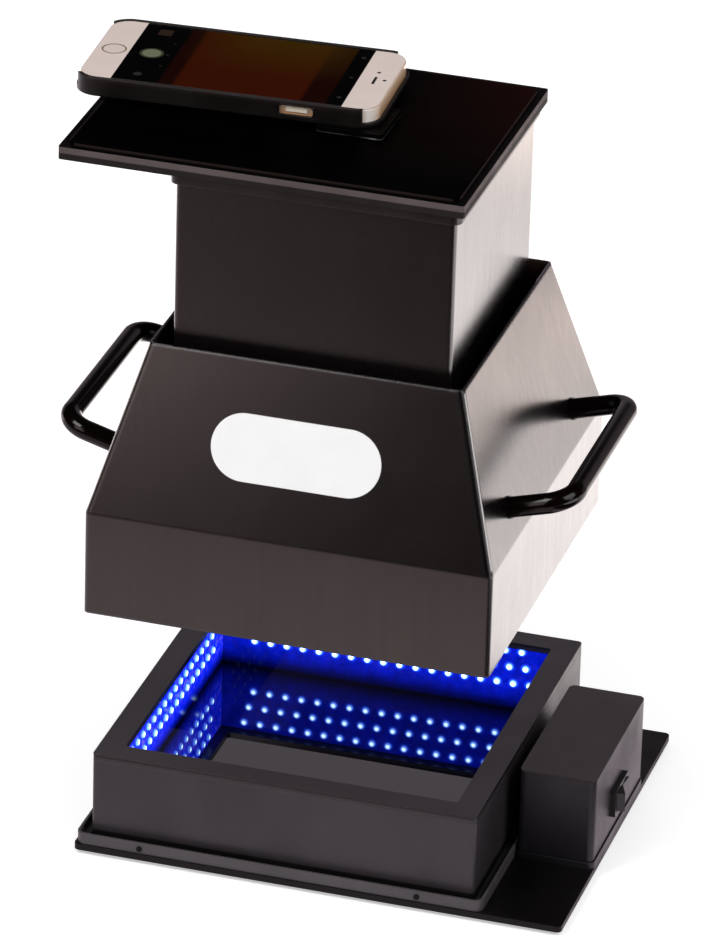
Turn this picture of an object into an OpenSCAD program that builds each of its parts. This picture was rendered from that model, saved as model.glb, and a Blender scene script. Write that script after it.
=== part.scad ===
// Gel documentation system: a light box lit by blue LED walls, a lift-off dark hood with
// two handles, a camera column with a phone platform, and a cased phone that serves as the
// camera. The hood assembly is drawn raised above the light box. Millimetres, +Z up, with
// the origin under the centre of the light box on the resting face. Front is -Y.

/* [Base] */
// Thickness of the anti-slip mat under the base plate
mat_t = 2; // [1:0.5:4]
// How far the mat stays back from the edges of the base plate
mat_inset = 8; // [4:1:20]
// Thickness of the base plate
base_t = 3; // [2:0.5:6]
// Corner radius of the base plate
base_corner_r = 2.5; // [1:0.5:6]
// How far the base plate shows beyond the tray at the front, back and left
base_margin = 0.8; // [0.4:0.2:6]
// Thickness of the tray floor under the light box
tray_floor_t = 1.5; // [1:0.5:3]
// Height of the tray from the base plate to the top of its lip
tray_h = 5.5; // [4.5:0.5:9]
// Thickness of the tray lip
tray_lip_t = 1.2; // [0.8:0.2:2.4]
// Outer corner radius of the tray
tray_corner_r = 4; // [3:0.5:8]
// Clearance between the hood skirt and the tray lip
lip_gap = 0.5; // [0.3:0.1:1.5]
// Distance of the tray side screws from the middle of each side
tray_screw_x = 66; // [40:1:80]
// Head diameter of the tray side screws
tray_screw_d = 2.6; // [2:0.2:4]
// Thickness of the foam light seal in the tray channel
seal_t = 1; // [0.5:0.5:2]
// Gap beside the foam light seal on each side
seal_gap = 0.6; // [0.3:0.1:1]

/* [Light box] */
// Outer width of the light box
box_w = 182; // [160:1:240]
// Outer depth of the light box
box_d = 182; // [160:1:240]
// Height of the light box above the tray lip
box_rise = 39; // [34:1:60]
// Wall thickness of the light box
box_wall = 2; // [1.5:0.5:4]
// Outer corner radius of the light box
box_corner_r = 2; // [1:0.5:5]
// Thickness of the rim cap on the light box
rim_t = 3; // [2:0.5:5]
// Width of the rim cap around the well
rim_w = 12; // [9:1:25]
// Corner radius of the opening in the rim cap
rim_hole_r = 1.5; // [0.5:0.5:6]
// Thickness of the foam bed under the floor glass
bed_t = 2; // [1:0.5:4]
// Thickness of the dark floor glass
glass_t = 3; // [2:0.5:6]
// Assembly clearance of glass, boards and cap inside the walls
box_fit = 0.3; // [0.1:0.1:0.6]

/* [LED walls] */
// Thickness of an LED wall panel
board_t = 1.2; // [0.8:0.2:2]
// Depth of the space behind an LED wall panel
board_back = 3.8; // [2:0.2:6]
// Spacing of the LEDs along a row
led_pitch = 8; // [6:0.5:12]
// Spacing of the rows
led_row_step = 8.6; // [6:0.2:10]
// Number of rows on each wall
led_rows = 3; // [1:1:3]
// Sideways shift of each row against the row below
led_stagger = 2.2; // [0:0.1:4]
// Height of the lowest row above the floor glass
led_first_row = 13.8; // [4:0.2:16]
// Diameter of an LED lens
led_d = 3; // [2:0.2:4]
// How far an LED lens stands out
led_t = 0.8; // [0.4:0.1:1.5]
// Shortest distance from a row's end to the corner of the well
led_end_gap = 16; // [8:0.5:20]

/* [Power box] */
// Width of the power box
pbox_w = 36; // [32:0.5:60]
// Length of the power box from front to back
pbox_l = 88; // [70:1:120]
// Height of the power box above the base plate
pbox_h = 45.5; // [38:0.5:60]
// Distance of the power box centre behind the light box centre
pbox_y = 2; // [-20:1:20]
// Distance from the tray to the wall of the power box cover
pbox_gap = 0.8; // [0.7:0.1:6]
// Wall thickness of the power box cover
pbox_wall = 2; // [1.5:0.5:3]
// Corner radius of the power box cover
pbox_corner_r = 3; // [2.5:0.5:8]
// Height of the lip at the foot of the power box
pbox_lip_h = 3.5; // [2:0.5:6]
// How far the foot lip stands out beyond the cover
pbox_lip_out = 0.6; // [0.4:0.1:1.5]
// Length of the switch bezel
bezel_l = 22; // [21:0.5:26]
// Height of the switch bezel
bezel_h = 14; // [13:0.5:18]
// Thickness of the switch bezel
bezel_t = 2.2; // [1.5:0.1:3]
// Height of the switch centre above the base plate
switch_z = 18.2; // [14:0.2:28]
// Length of the rocker opening
rocker_slot_l = 18.8; // [18:0.2:19.6]
// Height of the rocker opening
rocker_slot_h = 10; // [8:0.5:11]
// Side clearance of the rocker in its opening
rocker_gap = 0.3; // [0.2:0.1:0.6]
// Tilt of the rocker from its middle position
rocker_tilt = 9; // [5:1:9]
// Radius of the rocker pivot pin
rocker_pin_r = 1; // [0.7:0.1:1.3]
// Running clearance of the rocker on its pin
pin_clear = 0.05; // [0.02:0.01:0.09]
// Radius of the threaded barrel of the power inlet
inlet_r = 5.5; // [5:0.5:7]
// Radius of the socket in the power inlet
inlet_bore_r = 2.9; // [2.6:0.1:3.5]

/* [Hood] */
// Height of the hood skirt above the tray lip in the raised position
lift_h = 113; // [20:1:160]
// Sheet thickness of the hood
hood_t = 1.2; // [0.8:0.1:2]
// Gap between the light box and the hood skirt
skirt_gap = 2.8; // [2:0.1:6]
// Height of the vertical skirt
skirt_h = 50; // [45:1:70]
// Height of the sloping part
slope_h = 78; // [65:1:110]
// Inward lean of each sloping side from skirt to rim
slope_in = 22; // [16:1:23]
// Bend radius of the hood corners
hood_corner_r = 2.5; // [2:0.5:5]
// Depth of the column shelf below the rim
shelf_drop = 25; // [18:1:34]
// Thickness of the column shelf
shelf_t = 1.5; // [1:0.5:3]
// Height of the locating collar on the shelf
shelf_collar_h = 8; // [4:1:12]
// Length of the badge plate
badge_l = 79; // [50:1:100]
// Height of the badge plate
badge_h = 31; // [20:1:40]
// Thickness of the badge plate
badge_t = 0.5; // [0.3:0.1:1]
// Distance of the badge centre up the slope from the bend
badge_up = 41; // [25:1:55]

/* [Handles] */
// Rod diameter of the handles
handle_d = 9.5; // [8:0.5:12]
// Distance between the two legs of a handle
handle_span = 107; // [70:1:120]
// Reach of the grip centre line from the hood face
handle_reach = 29; // [24:0.5:45]
// Centre line radius of the handle bends
handle_bend_r = 11; // [8:0.5:14]
// Height of the legs above the bend
handle_up = 15; // [10:0.5:30]
// Thickness of the ferrules under the handle legs
ferrule_t = 0.8; // [0.5:0.1:2]

/* [Column and platform] */
// Outer width of the square camera column
column_w = 129; // [110:1:130]
// Sheet thickness of the column
column_t = 1.2; // [0.8:0.1:2]
// Corner radius of the column
column_corner_r = 2; // [1.5:0.5:4]
// Height of the column above its foot ring
column_h = 104.5; // [80:0.5:150]
// Thickness of the foot ring of the column
foot_t = 1.5; // [1:0.5:3]
// Outward reach of the foot ring
foot_out = 5; // [3:0.5:7]
// Height of the collar under the platform
collar_h = 4.7; // [3:0.1:8]
// Thickness of the collar under the platform
collar_t = 2.5; // [1.5:0.1:4]
// Overhang of the platform past the column at the front, back and right
platform_over = 4.5; // [4:0.5:20]
// Overhang of the platform past the column at the left
platform_left = 53.5; // [30:0.5:80]
// Thickness of the lower platform plate
platform_t = 3; // [2:0.5:6]
// Thickness of the upper platform plate
platform_top_t = 3; // [2:0.5:6]
// Thickness of the glossy top sheet
sheet_t = 1; // [0.5:0.5:3]
// How far the top sheet stays back from the platform edge
sheet_inset = 3.3; // [1.5:0.1:6]
// Corner radius of the top sheet
sheet_corner_r = 5; // [3:0.5:10]
// Diameter of the viewing hole
view_d = 20; // [14:1:24]
// Diameter of the amber emission filter
filter_d = 50; // [40:1:70]
// Thickness of the amber emission filter
filter_t = 2; // [1:0.5:4]
// Width of the close-up lens frame
lens_frame_w = 31; // [28:1:40]
// Height of the close-up lens frame
lens_frame_h = 2.5; // [2:0.5:6]

/* [Phone] */
// Length of the phone
phone_l = 138.2; // [120:0.1:165]
// Width of the phone
phone_w = 67; // [60:0.1:80]
// Thickness of the phone
phone_t = 7; // [6:0.1:10]
// Corner radius of the phone
phone_corner_r = 9.5; // [6:0.5:12]
// Thickness of the front glass
phone_glass_t = 0.8; // [0.5:0.1:1.2]
// Distance from each end of the phone to the display
display_end = 16.1; // [15:0.1:22]
// Distance from each side of the phone to the display
display_side = 1.2; // [1:0.1:6]
// Radius of the home button
home_r = 5.4; // [4:0.1:6]
// Distance of the rear camera from the top end and the side
phone_cam_in = 10; // [8:0.5:16]
// Turn of the phone on the platform
phone_turn = 3; // [-10:1:10]
// Wall thickness of the phone case
case_t = 1.5; // [1:0.1:2.5]
// Clearance between the phone and its case
case_gap = 0.15; // [0.1:0.05:0.4]
// Height of the case walls above the front glass
case_over = 0.3; // [0:0.1:1]
// Length at the camera end that the case walls leave open
case_open = 6; // [4:0.5:20]
// Width of the open window at the other end of the case
case_window = 60; // [30:1:62]

/* [Hidden] */
$fn = 48;

// Levels of the base, from the resting face up
plate_z = mat_t + base_t;
tray_floor_z = plate_z + tray_floor_t;
lip_z = plate_z + tray_h;
rim_z = lip_z + box_rise;
cap_z = rim_z - rim_t;
glass_z = tray_floor_z + bed_t + glass_t;

// Footprints of the hood and of the tray that carries it
hood_w = box_w + 2 * (skirt_gap + hood_t);
hood_d = box_d + 2 * (skirt_gap + hood_t);
tray_w = hood_w + 2 * (lip_gap + tray_lip_t);
tray_d = hood_d + 2 * (lip_gap + tray_lip_t);
well_w = box_w - 2 * rim_w;
well_d = box_d - 2 * rim_w;
inner_w = box_w - 2 * box_wall;
inner_d = box_d - 2 * box_wall;

// Power box beside the tray, with its foot lip flush with the base plate's right edge
pbox_x0 = tray_w / 2 + pbox_gap;
pbox_x1 = pbox_x0 + pbox_w;
pbox_x = (pbox_x0 + pbox_x1) / 2;
base_x0 = -tray_w / 2 - base_margin;
base_x1 = pbox_x1 + pbox_lip_out;
base_d = tray_d + 2 * base_margin;
switch_height = plate_z + switch_z;
inlet_z = plate_z + switch_z;

// Circuit boards on the walls of the well
board_z = glass_z;
board_h = cap_z - board_z - box_fit;
board_face = box_wall + board_back + board_t;
board_len_x = inner_w - 2 * box_fit;
board_len_y = inner_d - 2 * (board_back + board_t + box_fit);
led_len_x = box_w - 2 * board_face;
led_len_y = box_d - 2 * board_face;

// Tray side screws
tray_screw_shank_d = 1.6;
tray_screw_z = tray_floor_z + 1;

// Inside of the power box
pbox_cover_z = plate_z + pbox_lip_h;
spigot_t = 1.6;
spigot_h = 3;
spigot_fit = 0.15;
driver_z = pbox_cover_z + spigot_h + 1;
driver_t = 1.6;
driver_x0 = pbox_x0 + pbox_wall + 3;
driver_y0 = pbox_y - pbox_l / 2 + 10;
driver_w = 13;
driver_l = pbox_l - 32;
driver_post_d = 4;
can_d = 8;
can_h = 14;
choke_w = 10;
choke_h = 7;
switch_body_l = rocker_slot_l + 1.4;
switch_body_h = rocker_slot_h + 2;
switch_body_deep = 14;
switch_low = switch_height - switch_body_h / 2;
cavity_deep = 6;
rocker_axis_x = pbox_x1 - 1.5;

// Lead that runs under the tray from the right wall board to the power box
lead_t = 1.6;
lead_w = 5;
lead_x0 = box_w / 2 - board_face - lead_t / 2;
lead_x1 = pbox_x0 + pbox_wall + 8;
lead_hole_w = 6;
lead_hole_t = 3;

// Levels of the hood and the column, both drawn raised
hood_z = lip_z + lift_h;
bend_z = hood_z + skirt_h;
top_z = bend_z + slope_h;
slope_angle = atan(slope_in / slope_h);
rim_outer_w = hood_w - 2 * slope_in;
rim_outer_d = hood_d - 2 * slope_in;
shelf_z = top_z - shelf_drop;
shelf_half_w = rim_outer_w / 2 + shelf_drop * tan(slope_angle) - hood_t / cos(slope_angle);
shelf_half_d = rim_outer_d / 2 + shelf_drop * tan(slope_angle) - hood_t / cos(slope_angle);
shelf_side_gap = 0.1;
shelf_flange_h = 12;
column_in = column_w - 2 * column_t;
shelf_collar_w = column_in - 1;
shelf_collar_t = 1.5;
column_z = shelf_z + foot_t;
platform_z = column_z + column_h;
platform_top_z = platform_z + platform_t;
sheet_z = platform_top_z + platform_top_t;
table_z = sheet_z + sheet_t;
platform_x0 = -column_w / 2 - platform_left;
platform_x1 = column_w / 2 + platform_over;
platform_half_d = column_w / 2 + platform_over;
platform_screw_d = 1.6;
platform_screw_head_d = 3.2;
platform_screw_head_h = 1.2;
filter_ring_d = filter_d + 16;
filter_ring_h = filter_t + 1.5;
filter_screw_d = 2.5;
filter_screw_in = 2.5;
lens_d = view_d + 2;
lens_t = lens_frame_h - 0.8;

// Handle legs stand square on the sloping sides
handle_z = bend_z + handle_up;
handle_x = hood_w / 2 - handle_up * tan(slope_angle);
ferrule_d = handle_d + 1;
handle_screw_d = 5;
handle_screw_l = 11;

// Phone stack on the platform, in the frame of its rear camera
case_z = table_z + lens_frame_h;
phone_z = case_z + case_t + 0.1;
phone_x1 = phone_cam_in;
phone_x0 = phone_x1 - phone_l;
phone_y0 = -phone_cam_in;
phone_y1 = phone_y0 + phone_w;
phone_xc = (phone_x0 + phone_x1) / 2;
phone_yc = (phone_y0 + phone_y1) / 2;
phone_top = phone_z + phone_t;
key_z = phone_z + phone_t * 0.45;
key_h = 2.4;
key_slot_l = 16;
key_slot_h = 5;
key_out = 0.5;
key_deep = 1.2;
key_travel = 0.35;
power_key_x = phone_x1 - 36;
power_key_l = 10;
volume_up_x = phone_x1 - 37;
volume_down_x = phone_x1 - 50;
volume_key_l = 10;
power_key = [power_key_x, -1, power_key_l];
volume_up_key = [volume_up_x, 1, volume_key_l];
volume_down_key = [volume_down_x, 1, volume_key_l];
side_keys = [power_key, volume_up_key, volume_down_key];
home_x = phone_x0 + 8.6;
speaker_x = phone_x1 - 8.6;
speaker_l = 8.6;
display_l = phone_l - 2 * display_end;
display_w = phone_w - 2 * display_side;
pad_w = 10;
pad_l = 0.6 * phone_w;
camera_d = 8;

// ---------------------------------------------------------------- shared shapes

// Flat rectangle with round corners, centred on the origin
module round_rect(w, d, r) {
    square([w - 2 * r, d], center = true);
    square([w, d - 2 * r], center = true);
    for (sx = [-1, 1], sy = [-1, 1])
        translate([sx * (w / 2 - r), sy * (d / 2 - r)]) circle(r);
}

// Round-cornered slab that rises from z
module slab(w, d, r, z, h) {
    translate([0, 0, z]) linear_extrude(h) round_rect(w, d, r);
}

// Round-cornered ring with the same wall on all four sides
module ring(w, d, r, wall, z, h) {
    translate([0, 0, z]) linear_extrude(h) difference() {
        round_rect(w, d, r);
        round_rect(w - 2 * wall, d - 2 * wall, max(r - wall, 0.3));
    }
}

// Ring between an outer and an inner rectangle
module frame_plate(w, d, r, in_w, in_d, in_r, z, h) {
    translate([0, 0, z]) linear_extrude(h) difference() {
        round_rect(w, d, r);
        round_rect(in_w, in_d, in_r);
    }
}

// ---------------------------------------------------------------- base

module anti_slip_mat() {
    color("dimgray")
    translate([(base_x0 + base_x1) / 2, 0, 0])
        slab(base_x1 - base_x0 - 2 * mat_inset, base_d - 2 * mat_inset, base_corner_r, 0, mat_t);
}

// Hole around one upright end of the lead
module lead_hole(x, z, h) {
    translate([x - lead_hole_t / 2, -lead_hole_w / 2, z]) cube([lead_hole_t, lead_hole_w, h]);
}

module base_plate() {
    slot_x0 = lead_x0 - lead_hole_t / 2;
    slot_x1 = lead_x1 + lead_hole_t / 2;
    color([0.03, 0.03, 0.035])
    difference() {
        translate([(base_x0 + base_x1) / 2, 0, 0])
            slab(base_x1 - base_x0, base_d, base_corner_r, mat_t, base_t);
        translate([slot_x0, -lead_hole_w / 2, mat_t - 1]) cube([slot_x1 - slot_x0, lead_hole_w, base_t + 2]);
    }
}

module light_tray() {
    color([0.16, 0.15, 0.16])
    difference() {
        union() {
            slab(tray_w, tray_d, tray_corner_r, plate_z, tray_floor_t);
            ring(tray_w, tray_d, tray_corner_r, tray_lip_t, plate_z, tray_h);
        }
        lead_hole(lead_x0, plate_z - 1, tray_floor_t + 2);
        tray_screw_places() translate([0, 0, -tray_lip_t - 0.5])
            cylinder(d = tray_screw_shank_d + 0.1, h = tray_lip_t + 1);
    }
}

// Places a child at each tray side screw, with +Z square out of the lip
module tray_screw_places() {
    for (sx = [-1, 1], side = [0, 180])
        rotate([0, 0, side]) translate([sx * tray_screw_x, -tray_d / 2, tray_screw_z])
            rotate([90, 0, 0]) children();
}

module tray_screws() {
    color("black")
    tray_screw_places() {
        cylinder(d = tray_screw_d, h = 0.6);
        translate([0, 0, -tray_lip_t]) cylinder(d = tray_screw_shank_d, h = tray_lip_t + 0.1);
    }
}

module light_seal() {
    seal_w = tray_w - 2 * (tray_lip_t + seal_gap);
    seal_d = tray_d - 2 * (tray_lip_t + seal_gap);
    color([0.06, 0.06, 0.06])
    frame_plate(seal_w, seal_d, tray_corner_r - tray_lip_t,
        box_w + 2 * seal_gap, box_d + 2 * seal_gap, box_corner_r + seal_gap, tray_floor_z, seal_t);
}

module light_box_wall() {
    color([0.18, 0.17, 0.18])
    ring(box_w, box_d, box_corner_r, box_wall, tray_floor_z, cap_z - tray_floor_z);
}

module light_box_rim() {
    color([0.14, 0.13, 0.14])
    frame_plate(box_w, box_d, box_corner_r, well_w, well_d, rim_hole_r, cap_z, rim_t);
}

module glass_bed() {
    color([0.1, 0.1, 0.1])
    difference() {
        slab(inner_w - 2 * box_fit, inner_d - 2 * box_fit, 1, tray_floor_z, bed_t);
        lead_hole(lead_x0, tray_floor_z - 1, bed_t + 2);
    }
}

module floor_glass() {
    color([0.02, 0.02, 0.06])
    difference() {
        slab(inner_w - 2 * box_fit, inner_d - 2 * box_fit, 1, tray_floor_z + bed_t, glass_t);
        lead_hole(lead_x0, tray_floor_z, bed_t + glass_t + 2);
    }
}

// A wall panel seen from inside the well: its face on y = 0, its top and foot bent back to the wall
module led_board(length) {
    deep = board_t + board_back - 0.1;
    translate([-length / 2, 0, board_z]) difference() {
        cube([length, deep, board_h]);
        translate([-1, board_t, board_t]) cube([length + 2, deep, board_h - 2 * board_t]);
    }
}

// Staggered rows of LED lenses on the face of a panel
module led_rows_on(length) {
    count = floor((length - 2 * led_end_gap) / led_pitch) + 1;
    for (row = [0 : led_rows - 1], i = [0 : count - 1]) {
        x = (i - (count - 1) / 2) * led_pitch - row * led_stagger;
        z = glass_z + led_first_row + row * led_row_step;
        translate([x, 0, z]) rotate([90, 0, 0]) cylinder(d = led_d, h = led_t);
    }
}

// Puts a wall item, drawn facing -Y, on one of the four sides of the well
module on_wall(side) {
    turn = side == "back" ? 0 : side == "front" ? 180 : side == "right" ? -90 : 90;
    reach = (side == "front" || side == "back" ? box_d : box_w) / 2 - board_face;
    rotate([0, 0, turn]) translate([0, reach, 0]) children();
}

module board_on(side) {
    color([0.12, 0.14, 0.5])
    on_wall(side) led_board(side == "front" || side == "back" ? board_len_x : board_len_y);
}

module leds_on(side) {
    color([0.75, 0.8, 1])
    on_wall(side) led_rows_on(side == "front" || side == "back" ? led_len_x : led_len_y);
}

// ---------------------------------------------------------------- power box

module power_box_base() {
    spigot_w = pbox_w - 2 * (pbox_wall + spigot_fit);
    spigot_l = pbox_l - 2 * (pbox_wall + spigot_fit);
    color([0.15, 0.14, 0.15])
    difference() {
        translate([pbox_x, pbox_y, 0]) difference() {
            union() {
                slab(pbox_w + 2 * pbox_lip_out, pbox_l + 2 * pbox_lip_out, pbox_corner_r + pbox_lip_out,
                    plate_z, pbox_lip_h);
                slab(spigot_w, spigot_l, pbox_corner_r - 1.5, plate_z, pbox_lip_h + spigot_h);
            }
            slab(spigot_w - 2 * spigot_t, spigot_l - 2 * spigot_t, 1, plate_z + 1.5, pbox_lip_h + spigot_h);
        }
        lead_hole(lead_x1, plate_z - 1, 4);
    }
}

module power_box_cover() {
    inside_l = pbox_l - 2 * pbox_wall;
    color([0.17, 0.16, 0.17])
    difference() {
        translate([pbox_x, pbox_y, 0]) difference() {
            slab(pbox_w, pbox_l, pbox_corner_r, pbox_cover_z, pbox_h - pbox_lip_h);
            slab(pbox_w - 2 * pbox_wall, inside_l, pbox_corner_r - 1.5, pbox_cover_z - 1,
                pbox_h - pbox_lip_h - pbox_wall + 1);
        }
        translate([pbox_x1 - pbox_wall - 1, -switch_body_l / 2 - 0.1, switch_low - 0.1])
            cube([pbox_wall + 2, switch_body_l + 0.2, switch_body_h + 0.2]);
        translate([pbox_x, pbox_y + pbox_l / 2 + 1, inlet_z]) rotate([90, 0, 0])
            cylinder(r = inlet_r + 0.1, h = pbox_wall + 2);
    }
}

module driver_board() {
    color("darkgreen")
    union() {
        translate([driver_x0, driver_y0, driver_z]) cube([driver_w, driver_l, driver_t]);
        for (y = [driver_y0 + driver_post_d, driver_y0 + driver_l - driver_post_d])
            translate([driver_x0 + driver_post_d * 0.75, y, plate_z + 1.5])
                cylinder(d = driver_post_d, h = driver_z - plate_z - 1);
    }
}

module driver_parts() {
    x = driver_x0 + driver_w / 2;
    top = driver_z + driver_t;
    color("silver") {
        for (place = [0.14, 0.37, 0.6])
            translate([x, driver_y0 + place * driver_l, top]) cylinder(d = can_d, h = can_h);
        translate([x - choke_w / 2, driver_y0 + 0.75 * driver_l, top]) cube([choke_w, choke_w, choke_h]);
    }
}

// Flat lead in the slot of the base plate, with one end up at the board and one in the power box
module light_lead() {
    board_end = board_z + 4;
    box_end = plate_z + 4;
    color("dimgray")
    union() {
        translate([lead_x0 - lead_t / 2, -lead_w / 2, mat_t])
            cube([lead_x1 - lead_x0 + lead_t, lead_w, lead_t]);
        translate([lead_x0 - lead_t / 2, -lead_w / 2, mat_t]) cube([lead_t, lead_w, board_end - mat_t]);
        translate([lead_x1 - lead_t / 2, -lead_w / 2, mat_t]) cube([lead_t, lead_w, box_end - mat_t]);
    }
}

module switch_bezel() {
    color([0.05, 0.05, 0.05])
    difference() {
        union() {
            translate([pbox_x1, 0, switch_height]) rotate([90, 0, 90])
                linear_extrude(bezel_t) round_rect(bezel_l, bezel_h, 1);
            translate([pbox_x1 - switch_body_deep, -switch_body_l / 2, switch_low])
                cube([switch_body_deep, switch_body_l, switch_body_h]);
        }
        translate([pbox_x1 - cavity_deep, -rocker_slot_l / 2, switch_height - rocker_slot_h / 2])
            cube([cavity_deep + bezel_t + 1, rocker_slot_l, rocker_slot_h]);
        translate([rocker_axis_x, 0, switch_low - 1])
            cylinder(r = rocker_pin_r + 0.02, h = switch_body_h + 2);
    }
}

module switch_pin() {
    color("silver")
    translate([rocker_axis_x, 0, switch_low]) cylinder(r = rocker_pin_r, h = switch_body_h);
}

module switch_rocker() {
    half = rocker_slot_l / 2 - 0.8;
    face = pbox_x1 - rocker_axis_x;
    crest = face + bezel_t + 2.2;
    dish = crest - 2;
    under = face - 1;
    tall = rocker_slot_h - 2 * rocker_gap;
    color([0.04, 0.04, 0.04])
    translate([rocker_axis_x, 0, switch_height - tall / 2])
    rotate([0, 0, rocker_tilt])
    linear_extrude(tall) difference() {
        union() {
            polygon([[under, -half], [crest, -half + 0.3], [dish, 0], [crest, half - 0.3], [under, half]]);
            circle(r = rocker_pin_r + 1.6);
        }
        circle(r = rocker_pin_r + pin_clear);
    }
}

module dc_inlet() {
    flange_t = 1.5;
    barrel_in = 9;
    barrel_out = pbox_wall + 2.6;
    socket_in = barrel_in - 2;
    color([0.05, 0.05, 0.05])
    translate([pbox_x, pbox_y + pbox_l / 2 - pbox_wall, inlet_z]) rotate([-90, 0, 0])
    union() {
        difference() {
            union() {
                translate([0, 0, -flange_t]) cylinder(r = inlet_r + 2, h = flange_t);
                translate([0, 0, -barrel_in]) cylinder(r = inlet_r, h = barrel_in + barrel_out);
            }
            translate([0, 0, -socket_in]) cylinder(r = inlet_bore_r, h = socket_in + barrel_out + 1);
        }
        translate([0, 0, -socket_in - 0.5]) cylinder(r = 1, h = socket_in + 1.5);
    }
}

module inlet_nut() {
    nut_h = 1.8;
    color("silver")
    translate([pbox_x, pbox_y + pbox_l / 2, inlet_z]) rotate([-90, 0, 0])
    difference() {
        cylinder(r = inlet_r + 2.4, h = nut_h, $fn = 6);
        translate([0, 0, -1]) cylinder(r = inlet_r + 0.05, h = nut_h + 2);
    }
}

// ---------------------------------------------------------------- hood

// Corner posts that a hull joins into a round-cornered block with sloping sides
module corner_posts(w, d, r, z, h) {
    for (sx = [-1, 1], sy = [-1, 1])
        translate([sx * (w / 2 - r), sy * (d / 2 - r), z]) cylinder(r = r, h = h, $fn = 32);
}

// Solid hood outline, moved in by inset square to its faces, from floor_z to roof_z
module hood_block(inset, floor_z, roof_z) {
    w = hood_w - 2 * inset;
    d = hood_d - 2 * inset;
    r = hood_corner_r - inset;
    bend = bend_z - inset * tan(slope_angle / 2);
    top_in = (roof_z - top_z) * tan(slope_angle) + inset / cos(slope_angle);
    hull() corner_posts(w, d, r, floor_z, bend - floor_z);
    hull() {
        corner_posts(w, d, r, bend - 0.01, 0.01);
        corner_posts(rim_outer_w - 2 * top_in, rim_outer_d - 2 * top_in, r, roof_z - 0.01, 0.01);
    }
}

module hood_shell() {
    color([0.22, 0.2, 0.2])
    difference() {
        hood_block(0, hood_z, top_z);
        hood_block(hood_t, hood_z - 1, top_z + 1);
        handle_places() translate([0, 0, -6]) cylinder(d = handle_screw_d + 0.6, h = 12);
    }
}

// Shelf inside the hood, with side flanges that lie on the sloping walls
module column_shelf() {
    half_w = shelf_half_w - shelf_side_gap;
    half_d = shelf_half_d - shelf_side_gap;
    hole = shelf_collar_w - 2 * shelf_collar_t;
    color([0.08, 0.08, 0.08])
    union() {
        frame_plate(2 * half_w, 2 * half_d, 2, hole, hole, 1, shelf_z - shelf_t, shelf_t);
        ring(shelf_collar_w, shelf_collar_w, 2, shelf_collar_t, shelf_z - shelf_t / 2,
            shelf_collar_h + shelf_t / 2);
        for (side = [0 : 3])
            rotate([0, 0, 90 * side])
                translate([side % 2 == 0 ? half_w : half_d, 0, shelf_z])
                rotate([0, -slope_angle, 0])
                translate([-shelf_t, -shelf_half_w + 12, -shelf_flange_h])
                cube([shelf_t, 2 * shelf_half_w - 24, shelf_flange_h]);
    }
}

module badge_plate() {
    color("white")
    translate([0, -hood_d / 2, bend_z])
    rotate([-slope_angle, 0, 0])
    translate([0, -0.02, badge_up])
    rotate([90, 0, 0])
    linear_extrude(badge_t) round_rect(badge_l, badge_h, badge_h / 2 - 0.01);
}

// Places a child on the hood's sloping side at each handle leg, with +Z square to the face
module handle_places() {
    for (side = [-1, 1], leg = [-1, 1])
        translate([side * handle_x, leg * handle_span / 2, handle_z])
            rotate([0, side * (90 - slope_angle), 0]) children();
}

// Handle drawn on its own face plane: legs rise along +Z from z = 0, the grip runs along Y
module handle_bar() {
    straight = handle_reach - handle_bend_r - ferrule_t;
    grip = handle_span - 2 * handle_bend_r;
    translate([0, 0, ferrule_t])
    difference() {
        union() {
            for (leg = [-1, 1]) {
                translate([0, leg * handle_span / 2, 0]) cylinder(d = handle_d, h = straight);
                translate([0, leg * grip / 2, straight]) rotate([90, 0, leg * 90])
                    rotate_extrude(angle = 90) translate([handle_bend_r, 0]) circle(d = handle_d);
            }
            translate([0, grip / 2, straight + handle_bend_r]) rotate([90, 0, 0])
                cylinder(d = handle_d, h = grip);
        }
        for (leg = [-1, 1])
            translate([0, leg * handle_span / 2, -1])
                cylinder(d = handle_screw_d + 0.1, h = handle_screw_l + 0.5);
    }
}

module handle_on(side) {
    color([0.06, 0.06, 0.06])
    translate([side * handle_x, 0, handle_z]) rotate([0, side * (90 - slope_angle), 0]) handle_bar();
}

module handle_ferrules() {
    color([0.05, 0.05, 0.05])
    handle_places() difference() {
        cylinder(d = ferrule_d, h = ferrule_t);
        translate([0, 0, -1]) cylinder(d = handle_screw_d + 0.6, h = ferrule_t + 2);
    }
}

module handle_screws() {
    head_h = 2.5;
    color("silver")
    handle_places() {
        translate([0, 0, -hood_t - head_h]) cylinder(d = 9, h = head_h);
        translate([0, 0, -hood_t - 0.2]) cylinder(d = handle_screw_d, h = handle_screw_l);
    }
}

// ---------------------------------------------------------------- column and platform

module column_shell() {
    color([0.2, 0.18, 0.18])
    ring(column_w, column_w, column_corner_r, column_t, column_z, column_h);
}

module column_foot() {
    foot_w = column_w + 2 * foot_out;
    color([0.1, 0.1, 0.1])
    frame_plate(foot_w, foot_w, column_corner_r + foot_out, column_in, column_in, 1, shelf_z, foot_t);
}

module column_collar() {
    collar_w = column_w + 2 * collar_t;
    color([0.1, 0.09, 0.09])
    difference() {
        slab(collar_w, collar_w, column_corner_r + collar_t, platform_z - collar_h, collar_h);
        slab(column_w + 0.1, column_w + 0.1, column_corner_r, platform_z - collar_h - 1, collar_h + 2);
        platform_screw_places() translate([0, 0, -collar_h])
            cylinder(d = platform_screw_d + 0.05, h = collar_h + 1);
    }
}

// Places a child over the middle of the collar wall, at the underside of the platform
module platform_screw_places() {
    reach = column_w / 2 + collar_t / 2;
    for (side = [0 : 90 : 270], along = [-column_w / 3, column_w / 3])
        rotate([0, 0, side]) translate([reach, along, platform_z]) children();
}

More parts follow.
